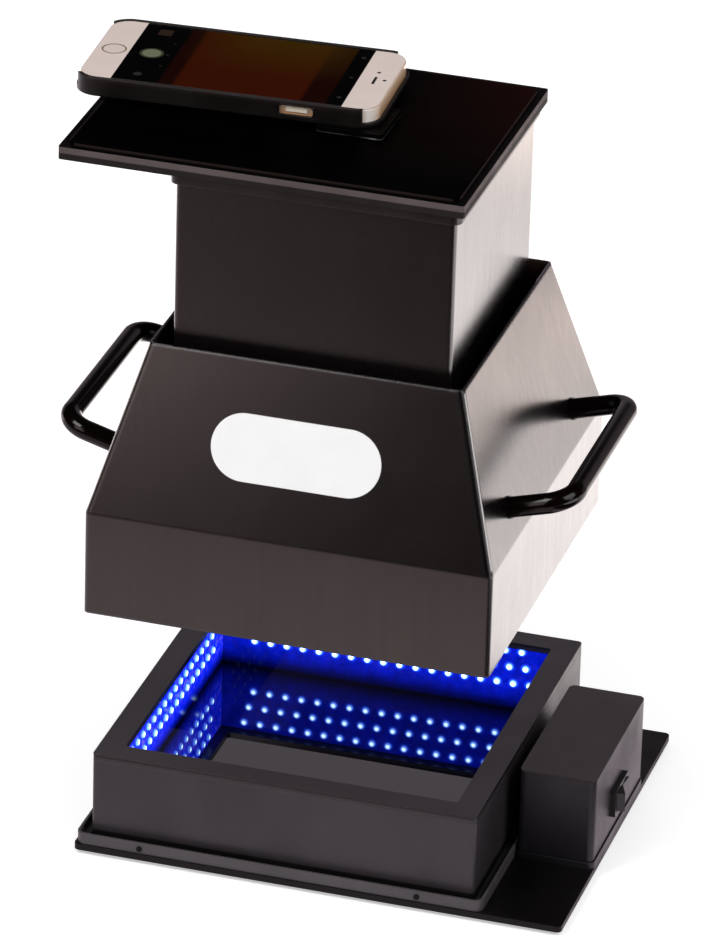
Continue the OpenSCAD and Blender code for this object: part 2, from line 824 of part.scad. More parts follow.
// Platform outline with the viewing hole, from z to z + h
module platform_layer(margin, r, z, h) {
    difference() {
        translate([(platform_x0 + platform_x1) / 2, 0, 0])
            slab(platform_x1 - platform_x0 - 2 * margin, 2 * (platform_half_d - margin), r, z, h);
        translate([0, 0, z - 1]) cylinder(d = view_d, h = h + 2);
    }
}

module platform_plate() {
    head_z = platform_t - platform_screw_head_h;
    color([0.05, 0.045, 0.045])
    difference() {
        platform_layer(0, 1.5, platform_z, platform_t);
        platform_screw_places() {
            translate([0, 0, -1]) cylinder(d = platform_screw_d + 0.05, h = platform_t + 2);
            translate([0, 0, head_z]) cylinder(d = platform_screw_head_d + 0.1, h = 2);
        }
        filter_screw_places() translate([0, 0, -0.5])
            cylinder(d = filter_screw_d + 0.05, h = filter_screw_in + 0.5);
    }
}

module platform_top() {
    color([0.09, 0.08, 0.08])
    platform_layer(0, 1.5, platform_top_z, platform_top_t);
}

module platform_sheet() {
    color([0.02, 0.02, 0.02])
    platform_layer(sheet_inset, sheet_corner_r, sheet_z, sheet_t);
}

module platform_screws() {
    color("silver")
    platform_screw_places() {
        translate([0, 0, platform_t - platform_screw_head_h])
            cylinder(d = platform_screw_head_d, h = platform_screw_head_h - 0.1);
        translate([0, 0, -collar_h + 1]) cylinder(d = platform_screw_d, h = collar_h + platform_t - 1.5);
    }
}

module emission_filter() {
    color([0.9, 0.45, 0.05])
    translate([0, 0, platform_z - filter_t]) cylinder(d = filter_d, h = filter_t);
}

module filter_screw_places() {
    for (turn = [45 : 90 : 315])
        rotate([0, 0, turn]) translate([filter_ring_d / 2 - 3.5, 0, platform_z]) children();
}

module filter_ring() {
    color([0.07, 0.07, 0.07])
    difference() {
        translate([0, 0, platform_z - filter_ring_h]) cylinder(d = filter_ring_d, h = filter_ring_h);
        translate([0, 0, platform_z - filter_t]) cylinder(d = filter_d + 0.2, h = filter_t + 1);
        translate([0, 0, platform_z - filter_ring_h - 1]) cylinder(d = filter_d - 6, h = filter_ring_h + 2);
        filter_screw_places() translate([0, 0, -filter_ring_h - 1])
            cylinder(d = filter_screw_d + 0.2, h = filter_ring_h + 2);
    }
}

module filter_screws() {
    head_h = 1.6;
    color("silver")
    filter_screw_places() {
        translate([0, 0, -filter_ring_h - head_h]) cylinder(d = 4.5, h = head_h);
        translate([0, 0, -filter_ring_h - 0.5])
            cylinder(d = filter_screw_d, h = filter_ring_h + filter_screw_in);
    }
}

module lens_frame() {
    color([0.03, 0.03, 0.03])
    difference() {
        slab(lens_frame_w, lens_frame_w, 2, table_z, lens_frame_h);
        translate([0, 0, table_z - 1]) cylinder(d = view_d - 2, h = lens_frame_h + 2);
        translate([0, 0, table_z + lens_frame_h - lens_t]) cylinder(d = lens_d + 0.1, h = lens_t + 1);
    }
}

// Lens with a flat seat below and a gently domed top inside the frame
module closeup_lens() {
    dome_r = 60;
    edge_t = lens_t - 1.1;
    color([0.8, 0.88, 0.95])
    translate([0, 0, table_z + lens_frame_h - lens_t])
    rotate_extrude() intersection() {
        square([lens_d / 2, lens_t]);
        translate([0, edge_t - sqrt(dome_r * dome_r - lens_d * lens_d / 4)]) circle(dome_r, $fn = 360);
    }
}

module phone_pads() {
    color([0.08, 0.08, 0.08])
    phone_place() for (x = [phone_x0 + 0.22 * phone_l, phone_x0 + 0.58 * phone_l])
        translate([x - pad_w / 2, phone_yc - pad_l / 2, table_z]) cube([pad_w, pad_l, lens_frame_h]);
}

// ---------------------------------------------------------------- phone

// The phone lies face up, turned about its rear camera
module phone_place() {
    rotate([0, 0, phone_turn]) children();
}

// Phone outline grown by a margin, from z to z + h
module phone_block(grow, z, h) {
    translate([phone_xc, phone_yc, 0])
        slab(phone_l + 2 * grow, phone_w + 2 * grow, phone_corner_r + grow, z, h);
}

// Space around a side key: x is its centre along the phone, side is -1 at the front and 1 at the back
module key_block(x, side, l, h, from_out, to_in) {
    edge = side < 0 ? phone_y0 : phone_y1;
    low = side < 0 ? edge - from_out : edge - to_in;
    translate([x - l / 2, low, key_z - h / 2]) cube([l, from_out + to_in, h]);
}

module phone_case() {
    outer = case_gap + case_t;
    wall_top = phone_top + case_over;
    volume_mid = (volume_up_x + volume_down_x) / 2;
    volume_l = volume_up_x - volume_down_x + key_slot_l;
    color([0.12, 0.1, 0.1])
    phone_place() difference() {
        phone_block(outer, case_z, wall_top - case_z);
        phone_block(case_gap, case_z + case_t, wall_top - case_z);
        translate([phone_x1 - case_open, phone_y0 - outer - 1, case_z + case_t + 0.6])
            cube([case_open + outer + 1, phone_w + 2 * outer + 2, wall_top - case_z]);
        translate([phone_x0 - outer - 1, phone_yc - case_window / 2, case_z + case_t + 0.6])
            cube([phone_corner_r, case_window, wall_top - case_z]);
        key_block(power_key_x, -1, key_slot_l, key_slot_h, outer + 1, 1);
        key_block(volume_mid, 1, volume_l, key_slot_h, outer + 1, 1);
        translate([0, 0, case_z - 1]) cylinder(d = camera_d + 4, h = case_t + 2);
    }
}

module phone_chassis() {
    body_t = phone_t - phone_glass_t;
    color([0.85, 0.72, 0.58])
    phone_place() difference() {
        phone_block(0, phone_z, body_t);
        translate([home_x, phone_yc, phone_top - phone_glass_t - 0.5]) cylinder(r = home_r + 0.4, h = 2);
        for (key = side_keys)
            key_block(key[0], key[1], key[2] + 0.1, key_h + 0.1, 1, key_deep + key_travel + 0.1);
        translate([0, 0, phone_z - 1]) cylinder(d = camera_d + 0.1, h = 2.5);
    }
}

module phone_front_glass() {
    color("white")
    phone_place() difference() {
        phone_block(-0.3, phone_top - phone_glass_t, phone_glass_t);
        translate([phone_xc - display_l / 2 - 0.05, phone_yc - display_w / 2 - 0.05, phone_top - 2])
            cube([display_l + 0.1, display_w + 0.1, 3]);
        translate([home_x, phone_yc, phone_top - 2]) cylinder(r = home_r + 0.06, h = 3);
        translate([speaker_x, phone_yc, phone_top - 0.4]) linear_extrude(1) round_rect(1.2, speaker_l, 0.55);
    }
}

module phone_display() {
    color([0.1, 0.05, 0.03])
    phone_place()
        translate([phone_xc - display_l / 2, phone_yc - display_w / 2, phone_top - phone_glass_t])
            cube([display_l, display_w, phone_glass_t]);
}

module phone_home_button() {
    color("white")
    phone_place() translate([home_x, phone_yc, phone_top - phone_glass_t - 0.1])
        cylinder(r = home_r, h = phone_glass_t + 0.05);
}

module side_key(key) {
    color([0.88, 0.75, 0.6])
    phone_place() key_block(key[0], key[1], key[2], key_h, key_out, key_deep);
}

module phone_camera_window() {
    color("black")
    phone_place() translate([0, 0, phone_z - 0.6]) cylinder(d = camera_d, h = 1.8);
}

// ---------------------------------------------------------------- nodes

anti_slip_mat();
base_plate();
light_tray();
tray_screws();
light_seal();
light_box_wall();
light_box_rim();
glass_bed();
floor_glass();
board_on("front");  // led_board_front
board_on("back");  // led_board_back
board_on("left");  // led_board_left
board_on("right");  // led_board_right
leds_on("front");  // leds_front
leds_on("back");  // leds_back
leds_on("left");  // leds_left
leds_on("right");  // leds_right
power_box_base();
power_box_cover();
driver_board();
driver_parts();
light_lead();
switch_bezel();
switch_pin();
switch_rocker();
dc_inlet();
inlet_nut();
hood_shell();
column_shelf();
badge_plate();
handle_on(-1);  // handle_left
handle_on(1);  // handle_right
handle_ferrules();
handle_screws();
column_shell();
column_foot();
column_collar();
platform_plate();
platform_top();
platform_sheet();
platform_screws();
emission_filter();
filter_ring();
filter_screws();
lens_frame();
closeup_lens();
phone_pads();
phone_case();
phone_chassis();
phone_front_glass();
phone_display();
phone_home_button();
side_key(power_key);  // phone_power_button
side_key(volume_up_key);  // phone_volume_up
side_key(volume_down_key);  // phone_volume_down
phone_camera_window();
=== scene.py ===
"""Gel documentation system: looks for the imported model.

Every CAD piece gets a node material in the object's own metres. The phone's home ring, earpiece
grille, sensor dots and the rim of its key slot are small meshes that ride on it. Front is -Y.
"""

import math

import bmesh
import bpy
from mathutils import Matrix, Vector

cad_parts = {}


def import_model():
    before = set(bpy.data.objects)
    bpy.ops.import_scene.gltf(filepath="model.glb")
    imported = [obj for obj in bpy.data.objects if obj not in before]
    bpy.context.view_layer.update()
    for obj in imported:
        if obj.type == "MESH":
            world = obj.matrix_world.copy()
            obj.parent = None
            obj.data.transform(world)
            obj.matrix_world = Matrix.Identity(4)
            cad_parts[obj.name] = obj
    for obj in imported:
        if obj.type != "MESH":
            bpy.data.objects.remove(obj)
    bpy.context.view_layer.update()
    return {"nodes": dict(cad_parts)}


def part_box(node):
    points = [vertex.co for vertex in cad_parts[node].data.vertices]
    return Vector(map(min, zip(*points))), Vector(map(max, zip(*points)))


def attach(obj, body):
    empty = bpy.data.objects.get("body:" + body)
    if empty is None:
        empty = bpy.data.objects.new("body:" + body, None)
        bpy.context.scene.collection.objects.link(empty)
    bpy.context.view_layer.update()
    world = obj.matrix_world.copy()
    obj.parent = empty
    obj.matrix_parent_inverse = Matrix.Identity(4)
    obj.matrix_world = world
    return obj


MM = 0.001
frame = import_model()
NODES = frame["nodes"]


# ---------------------------------------------------------------- node helpers

# The range that most values of a noise texture keep to
NOISE_LOW, NOISE_HIGH = 0.3, 0.7
# A normal's Z from which a face counts as looking up, and from which it counts fully
UP_FROM, UP_FULL = 0.85, 0.97


class Graph:
    """Small helper round a material's node tree."""

    def __init__(self, name):
        self.material = bpy.data.materials.new(name)
        self.material.use_nodes = True
        self.tree = self.material.node_tree
        self.shader = self.tree.nodes["Principled BSDF"]
        self.place = self.tree.nodes.new("ShaderNodeTexCoord").outputs["Object"]

    def node(self, kind, **settings):
        made = self.tree.nodes.new(kind)
        for key, value in settings.items():
            setattr(made, key, value)
        return made

    def link(self, out, socket):
        self.tree.links.new(out, socket)

    def put(self, socket, value):
        """Links an output to a socket, or writes a plain value on it."""
        if isinstance(value, bpy.types.NodeSocket):
            self.link(value, socket)
        else:
            socket.default_value = value

    def set(self, name, value):
        """Links or writes a named input of the material's shader."""
        self.put(self.shader.inputs[name], value)

    def finish_with(self, shader_out):
        """Makes another shader than the principled one the material's surface."""
        self.link(shader_out, self.tree.nodes["Material Output"].inputs["Surface"])

    def math(self, operation, a, b=0.0):
        made = self.node("ShaderNodeMath", operation=operation)
        self.put(made.inputs[0], a)
        self.put(made.inputs[1], b)
        return made.outputs[0]

    def times(self, first, *others):
        for other in others:
            first = self.math("MULTIPLY", first, other)
        return first

    def plus(self, first, *others):
        for other in others:
            first = self.math("ADD", first, other)
        return first

    def minus(self, a, b):
        return self.math("SUBTRACT", a, b)

    def absolute(self, a):
        return self.math("ABSOLUTE", a)

    def length(self, a, b):
        """Length of the flat vector (a, b)."""
        return self.math("SQRT", self.plus(self.times(a, a), self.times(b, b)))

    def span(self, value, low, high, from_low=NOISE_LOW, from_high=NOISE_HIGH):
        """Maps the from range of a value to low..high and holds it there beyond both ends."""
        made = self.node("ShaderNodeMapRange")
        self.put(made.inputs["Value"], value)
        made.inputs["From Min"].default_value = from_low
        made.inputs["From Max"].default_value = from_high
        made.inputs["To Min"].default_value = low
        made.inputs["To Max"].default_value = high
        return made.outputs[0]

    def band(self, value, start, end, soft):
        """1 between start and end of a value, fading to 0 over twice the soft width."""
        rise = self.span(value, 0, 1, start - soft, start + soft)
        fall = self.span(value, 1, 0, end - soft, end + soft)
        return self.times(rise, fall)

    def noise(self, scale, detail=2.0, rough=0.5, stretch=(1, 1, 1)):
        place = self.place
        if stretch != (1, 1, 1):
            mapping = self.node("ShaderNodeMapping")
            mapping.inputs["Scale"].default_value = stretch
            self.link(self.place, mapping.inputs["Vector"])
            place = mapping.outputs[0]
        made = self.node("ShaderNodeTexNoise")
        self.link(place, made.inputs["Vector"])
        made.inputs["Scale"].default_value = scale
        made.inputs["Detail"].default_value = detail
        made.inputs["Roughness"].default_value = rough
        return made.outputs["Fac"]

    def mix(self, fac, a, b):
        made = self.node("ShaderNodeMix", data_type="RGBA")
        self.put(made.inputs["Factor"], fac)
        for socket, value in ((made.inputs[6], a), (made.inputs[7], b)):
            self.put(socket, value if isinstance(value, bpy.types.NodeSocket) else (*value, 1))
        return made.outputs[2]

    def mingle(self, a, b, scale, detail):
        """Two colours in soft patches."""
        return self.mix(self.span(self.noise(scale, detail), 0, 1), a, b)

    def split(self, vector):
        made = self.node("ShaderNodeSeparateXYZ")
        self.link(vector, made.inputs[0])
        return made.outputs

    def axes(self, turn=0.0):
        """Object X, Y and Z outputs, turned about Z by minus the given angle."""
        mapping = self.node("ShaderNodeMapping", vector_type="POINT")
        mapping.inputs["Rotation"].default_value = (0, 0, -turn)
        self.link(self.place, mapping.inputs["Vector"])
        return self.split(mapping.outputs[0])

    def normal(self):
        return self.node("ShaderNodeNewGeometry").outputs["Normal"]

    def bend(self, rounded):
        """0 on a flat face, rising as a rounded normal leaves the face's own."""
        dot = self.node("ShaderNodeVectorMath", operation="DOT_PRODUCT")
        self.link(rounded, dot.inputs[0])
        self.link(self.normal(), dot.inputs[1])
        return self.minus(1.0, dot.outputs["Value"])

    def facing_up(self):
        """1 on faces that look up, 0 on upright and sloping ones."""
        return self.span(self.split(self.normal())[2], 0, 1, UP_FROM, UP_FULL)

    def upright(self):
        """0 on faces that look up, 1 on all others."""
        return self.minus(1.0, self.facing_up())

    def inset(self, low, high):
        """Distance inwards from the nearest of the four upright sides of a box."""
        reaches = []
        for value, start, end in list(zip(self.axes(), low, high))[:2]:
            offset = self.absolute(self.minus(value, (start + end) / 2))
            reaches.append(self.minus((end - start) / 2, offset))
        return self.math("MINIMUM", *reaches)


def shade(value, factor, most=1.0):
    return tuple(min(most, c * factor) for c in value)


# ---------------------------------------------------------------- painted and moulded surfaces

BUMP_STRENGTH = 0.5
CLOUD_SCALE = 26
CLOUD_STRETCH = (1, 1, 0.22)
CLOUD_SPAN = (0.35, 0.7)
CLOUD_GAIN = 2.2
BRUSH_SCALE = 300
BRUSH_STRETCH = (1, 1, 0.05)
BRUSH_SPAN = (0.35, 0.65)
DUST_SCALE = 5200
DUST_SPAN = (0.70, 0.74)
DUST_GREY = (0.45, 0.43, 0.42)
EDGE_SAMPLES = 6
# Coat roughness on a rounded edge, and the bends between which it sets in
EDGE_COAT = 0.05
EDGE_BEND = (0.03, 0.16)


def paint_color(g, color, mottle, mottle_scale, streak, top, tone, dust):
    """Mottled colour under its clouds, painted light and shade on upper faces, changes by place, and dust."""
    base = g.mingle(shade(color, 1 - mottle), shade(color, 1 + mottle), mottle_scale, 4)
    if streak:
        clouds = g.span(g.noise(CLOUD_SCALE, 3, 0.6, CLOUD_STRETCH), 0, streak, *CLOUD_SPAN)
        base = g.mix(clouds, base, shade(color, CLOUD_GAIN))
    if top:
        base = g.mix(g.facing_up(), base, top)
    if tone:
        base = tone(g, base)
    if dust:
        specks = g.span(g.noise(DUST_SCALE, 1), 0, dust, *DUST_SPAN)
        base = g.mix(specks, base, DUST_GREY)
    return base


def relief(g, grain, grain_depth, stretch, edge, coat_rough):
    """Fine bump over edges rounded by a radius in mm, with a smoother coat where they bend."""
    bump = g.node("ShaderNodeBump")
    bump.inputs["Strength"].default_value = BUMP_STRENGTH
    bump.inputs["Distance"].default_value = grain_depth * MM
    g.link(g.noise(grain, 3, 0.6, stretch), bump.inputs["Height"])
    if edge:
        bevel = g.node("ShaderNodeBevel", samples=EDGE_SAMPLES)
        bevel.inputs["Radius"].default_value = edge * MM
        g.link(bevel.outputs[0], bump.inputs["Normal"])
        if coat_rough > EDGE_COAT:
            g.set("Coat Roughness", g.span(g.bend(bevel.outputs[0]), coat_rough, EDGE_COAT, *EDGE_BEND))
    g.set("Normal", bump.outputs[0])
    g.set("Coat Normal", bump.outputs[0])


def surface(name, color, rough, metal=0.0, spec=0.5, coat=0.0, coat_rough=0.04, rough_spread=0.08,
            mottle=0.15, mottle_scale=60, streak=0.0, top=None, tone=None, dust=0.0,
            brush=0.0, grain=900, grain_depth=0.006, edge=0.0, glow=None):
    """A finished surface: colour mottle, roughness patches, fine bump and softly rounded edges.

    Lengths are in mm. streak is the strength of soft upright clouds, top the colour of faces that
    look up, which paints light and shade on them, tone(graph, color) may change the colour by place,
    here mostly to paint light and shade, brush is the strength of fine upright streaks in the sheen
    and the grain, and glow(graph) may give an emission strength and colour, which paints light on a
    part that is no lamp.
    """
    g = Graph(name)
    g.set("Base Color", paint_color(g, color, mottle, mottle_scale, streak, top, tone, dust))
    patches = g.noise(mottle_scale * 0.6, 3, 0.6)
    g.set("Roughness", g.span(patches, max(0.02, rough - rough_spread), rough + rough_spread))
    g.set("Metallic", metal)
    g.set("Specular IOR Level", spec)
    g.set("Coat Roughness", coat_rough)
    stretch = (1, 1, 1)
    if brush:
        stretch = BRUSH_STRETCH
        coat = g.span(g.noise(BRUSH_SCALE, 3, 0.6, stretch), coat * (1 - brush), coat, *BRUSH_SPAN)
    g.set("Coat Weight", coat)
    relief(g, grain, grain_depth, stretch, edge, coat_rough)
    if glow:
        strength, tint = glow(g)
        g.set("Emission Strength", strength)
        g.set("Emission Color", (*tint, 1))
    return g.material


def dress(material, *names):
    """Gives CAD nodes one material."""
    for name in names:
        mesh = NODES[name].data
        mesh.materials.clear()
        mesh.materials.append(material)


def finish(nodes, name, color, rough, **settings):
    """Gives CAD nodes, named in one string, a new surface."""
    material = surface(name, color, rough, **settings)
    dress(material, *nodes.split())
    return material


# ---------------------------------------------------------------- sizes that the looks follow

# LED rows on each wall of the well, as the part's source has them: count, spacing along and up and
# shift per row. LED_REACH lies just inside the outer end of a row's last cell.
LED_ROWS = 3
LED_PITCH = 8 * MM
LED_STEP = 8.6 * MM
LED_SHIFT = 2.2 * MM
LED_REACH = 71.9 * MM
GLASS_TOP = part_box("floor_glass")[1].z
LED_FIRST_ROW = 13.8 * MM
LOW_ROW = GLASS_TOP + LED_FIRST_ROW

RIM_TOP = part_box("light_box_rim")[1].z
RIM_INNER = min(abs(v.co.y) for v in NODES["light_box_rim"].data.vertices)
LIP_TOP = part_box("light_tray")[1].z
# Distance from the tray's outer side to the channel inside its lip
CHANNEL_START = 2.2 * MM
HOOD_LOW, HOOD_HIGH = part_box("hood_shell")
SKIRT_TALL = 50 * MM
SKIRT_TOP = HOOD_LOW.z + SKIRT_TALL


# ---------------------------------------------------------------- light box, tray and power box

BOX_SIDE = (0.024, 0.020, 0.023)
# Lighter colour for the rim's upper faces: painted light from above, on the same paint as its sides
BOX_TOP_PAINTED_LIGHT = (0.037, 0.030, 0.034)
RIM_BAND_BLACK = (0.002, 0.0015, 0.002)
# Depths below the rim's top where the dark band ends and where it is full
RIM_BAND_END, RIM_BAND_FULL = 1.5 * MM, 1.2 * MM
# Painted shade at the wall's foot behind the tray's lip, and the softness of its upper edge
FOOT_PAINTED_SHADE = (0.001, 0.001, 0.001)
FOOT_SHADE_SOFT = 0.4 * MM
# Painted shade in the channel inside the tray's lip, and the softness of its edge
CHANNEL_PAINTED_SHADE = (0.0015, 0.001, 0.0012)
CHANNEL_SOFT = 0.1 * MM
# Painted spots of LED light on the rim: colour, power, depth below its top, radii of full and no
# light, and how far they stay off the corners
PAINTED_SPOT_VIOLET = (0.22, 0.08, 1.0)
SPOT_POWER = 2.2
SPOT_DOWN = 1.6 * MM
SPOT_RADII = (0.4 * MM, 2.0 * MM)
SPOT_CORNER = 5 * MM


def rim_tone(g, base):
    """Dark drawn line along the upper edge of the rim, on its upright faces."""
    line = g.span(g.axes()[2], 0, 0.9, RIM_TOP - RIM_BAND_END, RIM_TOP - RIM_BAND_FULL)
    return g.mix(g.times(line, g.upright()), base, RIM_BAND_BLACK)


def rim_painted_led_light(g):
    """Painted LED light: faint violet spots on the rim's inner front and back faces, over the top LED row."""
    x, y, z = g.axes()
    along = g.plus(g.times(x, g.math("SIGN", y)), (LED_ROWS - 1) * LED_SHIFT)
    cell = g.minus(g.math("FLOORED_MODULO", along, LED_PITCH), LED_PITCH / 2)
    far = g.length(cell, g.minus(z, RIM_TOP - SPOT_DOWN))
    on_face = g.span(g.absolute(y), 1, 0, RIM_INNER + 0.2 * MM, RIM_INNER + 0.4 * MM)
    row_end = RIM_INNER - SPOT_CORNER
    off_corner = g.span(g.absolute(along), 1, 0, row_end, row_end + 1 * MM)
    spot = g.span(far, SPOT_POWER, 0, *SPOT_RADII)
    return g.times(on_face, off_corner, g.upright(), spot), PAINTED_SPOT_VIOLET


def wall_painted_shade(g, base):
    """Painted shade where the wall of the light box goes down behind the tray's lip."""
    low = g.span(g.axes()[2], 0.9, 0, LIP_TOP - FOOT_SHADE_SOFT, LIP_TOP + FOOT_SHADE_SOFT)
    return g.mix(low, base, FOOT_PAINTED_SHADE)


def tray_painted_shade(g, base):
    """Painted shade in the channel between the tray's lip and the foot of the box."""
    inside = g.inset(*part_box("light_tray"))
    channel = g.span(inside, 0, 1, CHANNEL_START - CHANNEL_SOFT, CHANNEL_START + CHANNEL_SOFT)
    return g.mix(channel, base, CHANNEL_PAINTED_SHADE)


def dress_base():
    finish("base_plate", "base_paint", (0.0025, 0.0018, 0.0022), 0.42, spec=0.25, grain=1200, edge=0.5,
           dust=0.05)
    finish("light_tray", "tray_paint", (0.060, 0.053, 0.057), 0.34, grain=1500, grain_depth=0.01, edge=0.5,
           tone=tray_painted_shade)
    finish("tray_screws", "screw_black", (0.002, 0.002, 0.002), 0.6, spec=0.2, grain=2500, edge=0.3)
    finish("light_box_wall", "box_paint", BOX_SIDE, 0.36, mottle=0.1, grain=1600, grain_depth=0.01, edge=0.9,
           dust=0.1, streak=0.35, tone=wall_painted_shade)
    # The rim's upper faces get a lighter colour as painted light, and its inner faces painted LED spots
    finish("light_box_rim", "rim_paint", BOX_SIDE, 0.36, mottle=0.1, grain=1600, grain_depth=0.012, edge=0.6,
           dust=0.2, top=BOX_TOP_PAINTED_LIGHT, tone=rim_tone, glow=rim_painted_led_light)
    # The cover's upper faces get a lighter colour than its sides: painted light from above
    finish("power_box_cover", "power_cover_paint", (0.0085, 0.0072, 0.0095), 0.36, grain=1500,
           grain_depth=0.01, edge=1.2, top=(0.037, 0.029, 0.031), streak=0.2)
    finish("power_box_base", "power_base_paint", (0.008, 0.007, 0.009), 0.4, grain=1500, edge=0.4)
    finish("switch_bezel dc_inlet", "plastic_black", (0.01, 0.01, 0.01), 0.3, grain=1800, edge=0.35)
    finish("switch_rocker", "rocker_black", (0.014, 0.013, 0.014), 0.22, grain=1800, grain_depth=0.004,
           edge=0.5)
    finish("driver_board", "driver_green", (0.02, 0.13, 0.045), 0.4, mottle=0.2, mottle_scale=300, edge=0.2)
    finish("driver_parts", "driver_cans", (0.6, 0.6, 0.62), 0.3, metal=1.0, mottle=0.08, edge=0.5)


# ---------------------------------------------------------------- hood, column and platform

HOOD_BLACK = (0.0024, 0.0014, 0.0016)
# Inner faces: painted shade, near black, deep down, and painted light, brown, by the opening
INNER_SHADE_BLACK = (0.004, 0.0024, 0.002)
INNER_LIT_BROWN = (0.055, 0.032, 0.022)
# Depths below the hood's opening where the painted light on the inner faces starts and where it is full
INNER_LIT_START, INNER_LIT_FULL = 16 * MM, 2 * MM
# Normals of the rounded hip edges, between those of a front or back slope and a side slope
HIP_NORMAL_Y = (0.22, 0.52)
HIP_NORMAL_X = (0.5, 0.6)
# Painted highlight down the rounded hip edges
HIP_HIGHLIGHT_WHITE = (0.55, 0.52, 0.52)
# Place times normal is above this on the hood's outer faces and below minus this on its inner ones
SIDE_SOFT = 20 * MM
# Painted reflection, red-brown, on the sheet's back right, and a painted highlight round its edge
SHEET_PAINTED_REFLECTION = (0.0125, 0.0022, 0.0010)
SHEET_EDGE_HIGHLIGHT = (0.020, 0.014, 0.013)
# Painted highlight along the lens frame's foot, grey, and its near-white painted glint by the right corner
FRAME_HIGHLIGHT_GREY = (0.12, 0.11, 0.11)
FRAME_GLINT_WHITE = (0.7, 0.7, 0.72)


def hood_painted_light(g, base):
    """Inner faces painted lit brown by the opening, shaded below; a painted highlight down each hip edge."""
    x, y, z = g.axes()
    normal_x, normal_y, _ = g.split(g.normal())
    outward = g.plus(g.times(x, normal_x), g.times(y, normal_y))
    near_top = g.span(z, 0, 1, HOOD_HIGH.z - INNER_LIT_START, HOOD_HIGH.z - INNER_LIT_FULL)
    brown = g.mix(near_top, INNER_SHADE_BLACK, INNER_LIT_BROWN)
    painted = g.mix(g.span(outward, 1, 0, -SIDE_SOFT, 0), base, brown)
    sideways = g.span(g.absolute(normal_x), 0, 1, *HIP_NORMAL_X)
    on_bend = g.times(g.band(g.absolute(normal_y), *HIP_NORMAL_Y, 0.06), sideways)
    on_slope = g.band(z, SKIRT_TOP + 2.5 * MM, HOOD_HIGH.z - 1.5 * MM, 0.6 * MM)
    hip_highlight = g.times(on_bend, on_slope, g.span(outward, 0, 1, 0, SIDE_SOFT))
    return g.mix(hip_highlight, painted, HIP_HIGHLIGHT_WHITE)


def sheet_painted_light(g, base):
    """Painted highlight in a thin pale line round the sheet's edge, and a painted red-brown reflection
    towards its back right corner.
    """
    x, y, _ = g.axes()
    painted_reflection = g.times(g.span(x, 0, 1, 0, 80 * MM), g.span(y, 0, 1, -50 * MM, 70 * MM))
    line = g.span(g.inset(*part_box("platform_sheet")), 1, 0, 0.35 * MM, 0.6 * MM)
    return g.mix(line, g.mix(painted_reflection, base, SHEET_PAINTED_REFLECTION), SHEET_EDGE_HIGHLIGHT)


def lens_frame_painted_highlight(g, base):
    """Painted highlight: a light line along the foot of the lens frame, brightest by its right corner."""
    low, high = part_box("lens_frame")
    x, _, z = g.axes()
    painted_edge_line = g.times(g.span(z, 1, 0, low.z + 0.35 * MM, low.z + 0.6 * MM), g.span(g.noise(70), 0, 1))
    bright = g.band(x, high.x - 9 * MM, high.x - 3 * MM, 0.8 * MM)
    return g.mix(painted_edge_line, base, g.mix(bright, FRAME_HIGHLIGHT_GREY, FRAME_GLINT_WHITE))


def dress_hood():
    finish("hood_shell", "hood_paint", HOOD_BLACK, 0.26, coat=1.0, coat_rough=0.22, mottle=0.12,
           rough_spread=0.03, grain=700, grain_depth=0.004, edge=1.8, dust=0.04, streak=0.3, brush=0.12,
           tone=hood_painted_light)
    finish("handle_left handle_right handle_ferrules", "handle_paint", (0.0024, 0.0012, 0.001), 0.13,
           spec=0.3, rough_spread=0.03, grain=1500, grain_depth=0.004)
    finish("badge_plate", "badge_white", (0.87, 0.865, 0.86), 0.35, mottle=0.02, grain_depth=0.003, edge=0.3)
    finish("column_shelf column_foot filter_ring", "shelf_paint", (0.0012, 0.001, 0.001), 0.7, spec=0.2,
           grain=1500, grain_depth=0.01)


def dress_platform():
    finish("column_shell", "column_paint", HOOD_BLACK, 0.26, coat=1.0, coat_rough=0.2, mottle=0.12,
           rough_spread=0.03, grain=700, grain_depth=0.004, edge=1.8, dust=0.1, streak=0.3, brush=0.12)
    finish("column_collar", "collar_paint", shade(HOOD_BLACK, 4.0), 0.35, coat=0.3, edge=0.5)
    finish("platform_plate", "platform_paint", (0.016, 0.012, 0.012), 0.6, spec=0.15, edge=0.5, grain=1400)
    # Edges in pale brown-grey, partly the layer's own colour and partly a painted highlight on its rounded
    # front edge; the faces that look up stay near black
    finish("platform_top", "platform_edge", (0.090, 0.070, 0.068), 0.55, spec=0.1, edge=0.7,
           top=(0.0012, 0.0006, 0.0006))
    finish("platform_sheet", "sheet_gloss", (0.0002, 0.0001, 0.0001), 0.55, spec=0.02, mottle=0.2,
           rough_spread=0.05, grain=250, grain_depth=0.002, tone=sheet_painted_light)
    finish("lens_frame", "lens_black", (0.0012, 0.001, 0.001), 0.4, spec=0.03, mottle=0.2, edge=0.4,
           tone=lens_frame_painted_highlight)


def dress_shared():
    """Materials that pieces of more than one unit share."""
    finish("anti_slip_mat phone_pads light_lead", "rubber_black", (0.008, 0.008, 0.008), 0.75, grain=1400,
           grain_depth=0.03)
    finish("light_seal glass_bed", "foam_black", (0.006, 0.006, 0.006), 0.95, grain=2200, grain_depth=0.12)
    finish("handle_screws platform_screws filter_screws switch_pin inlet_nut", "plated_steel",
           (0.5, 0.5, 0.49), 0.28, metal=1.0, mottle=0.1, grain=2500, edge=0.3)


# ---------------------------------------------------------------- glass and light

# Each wall's long axis and the direction in which its rows are counted along it
WALL_RUN = {"back": (0, 1), "front": (0, -1), "left": (1, 1), "right": (1, -1)}
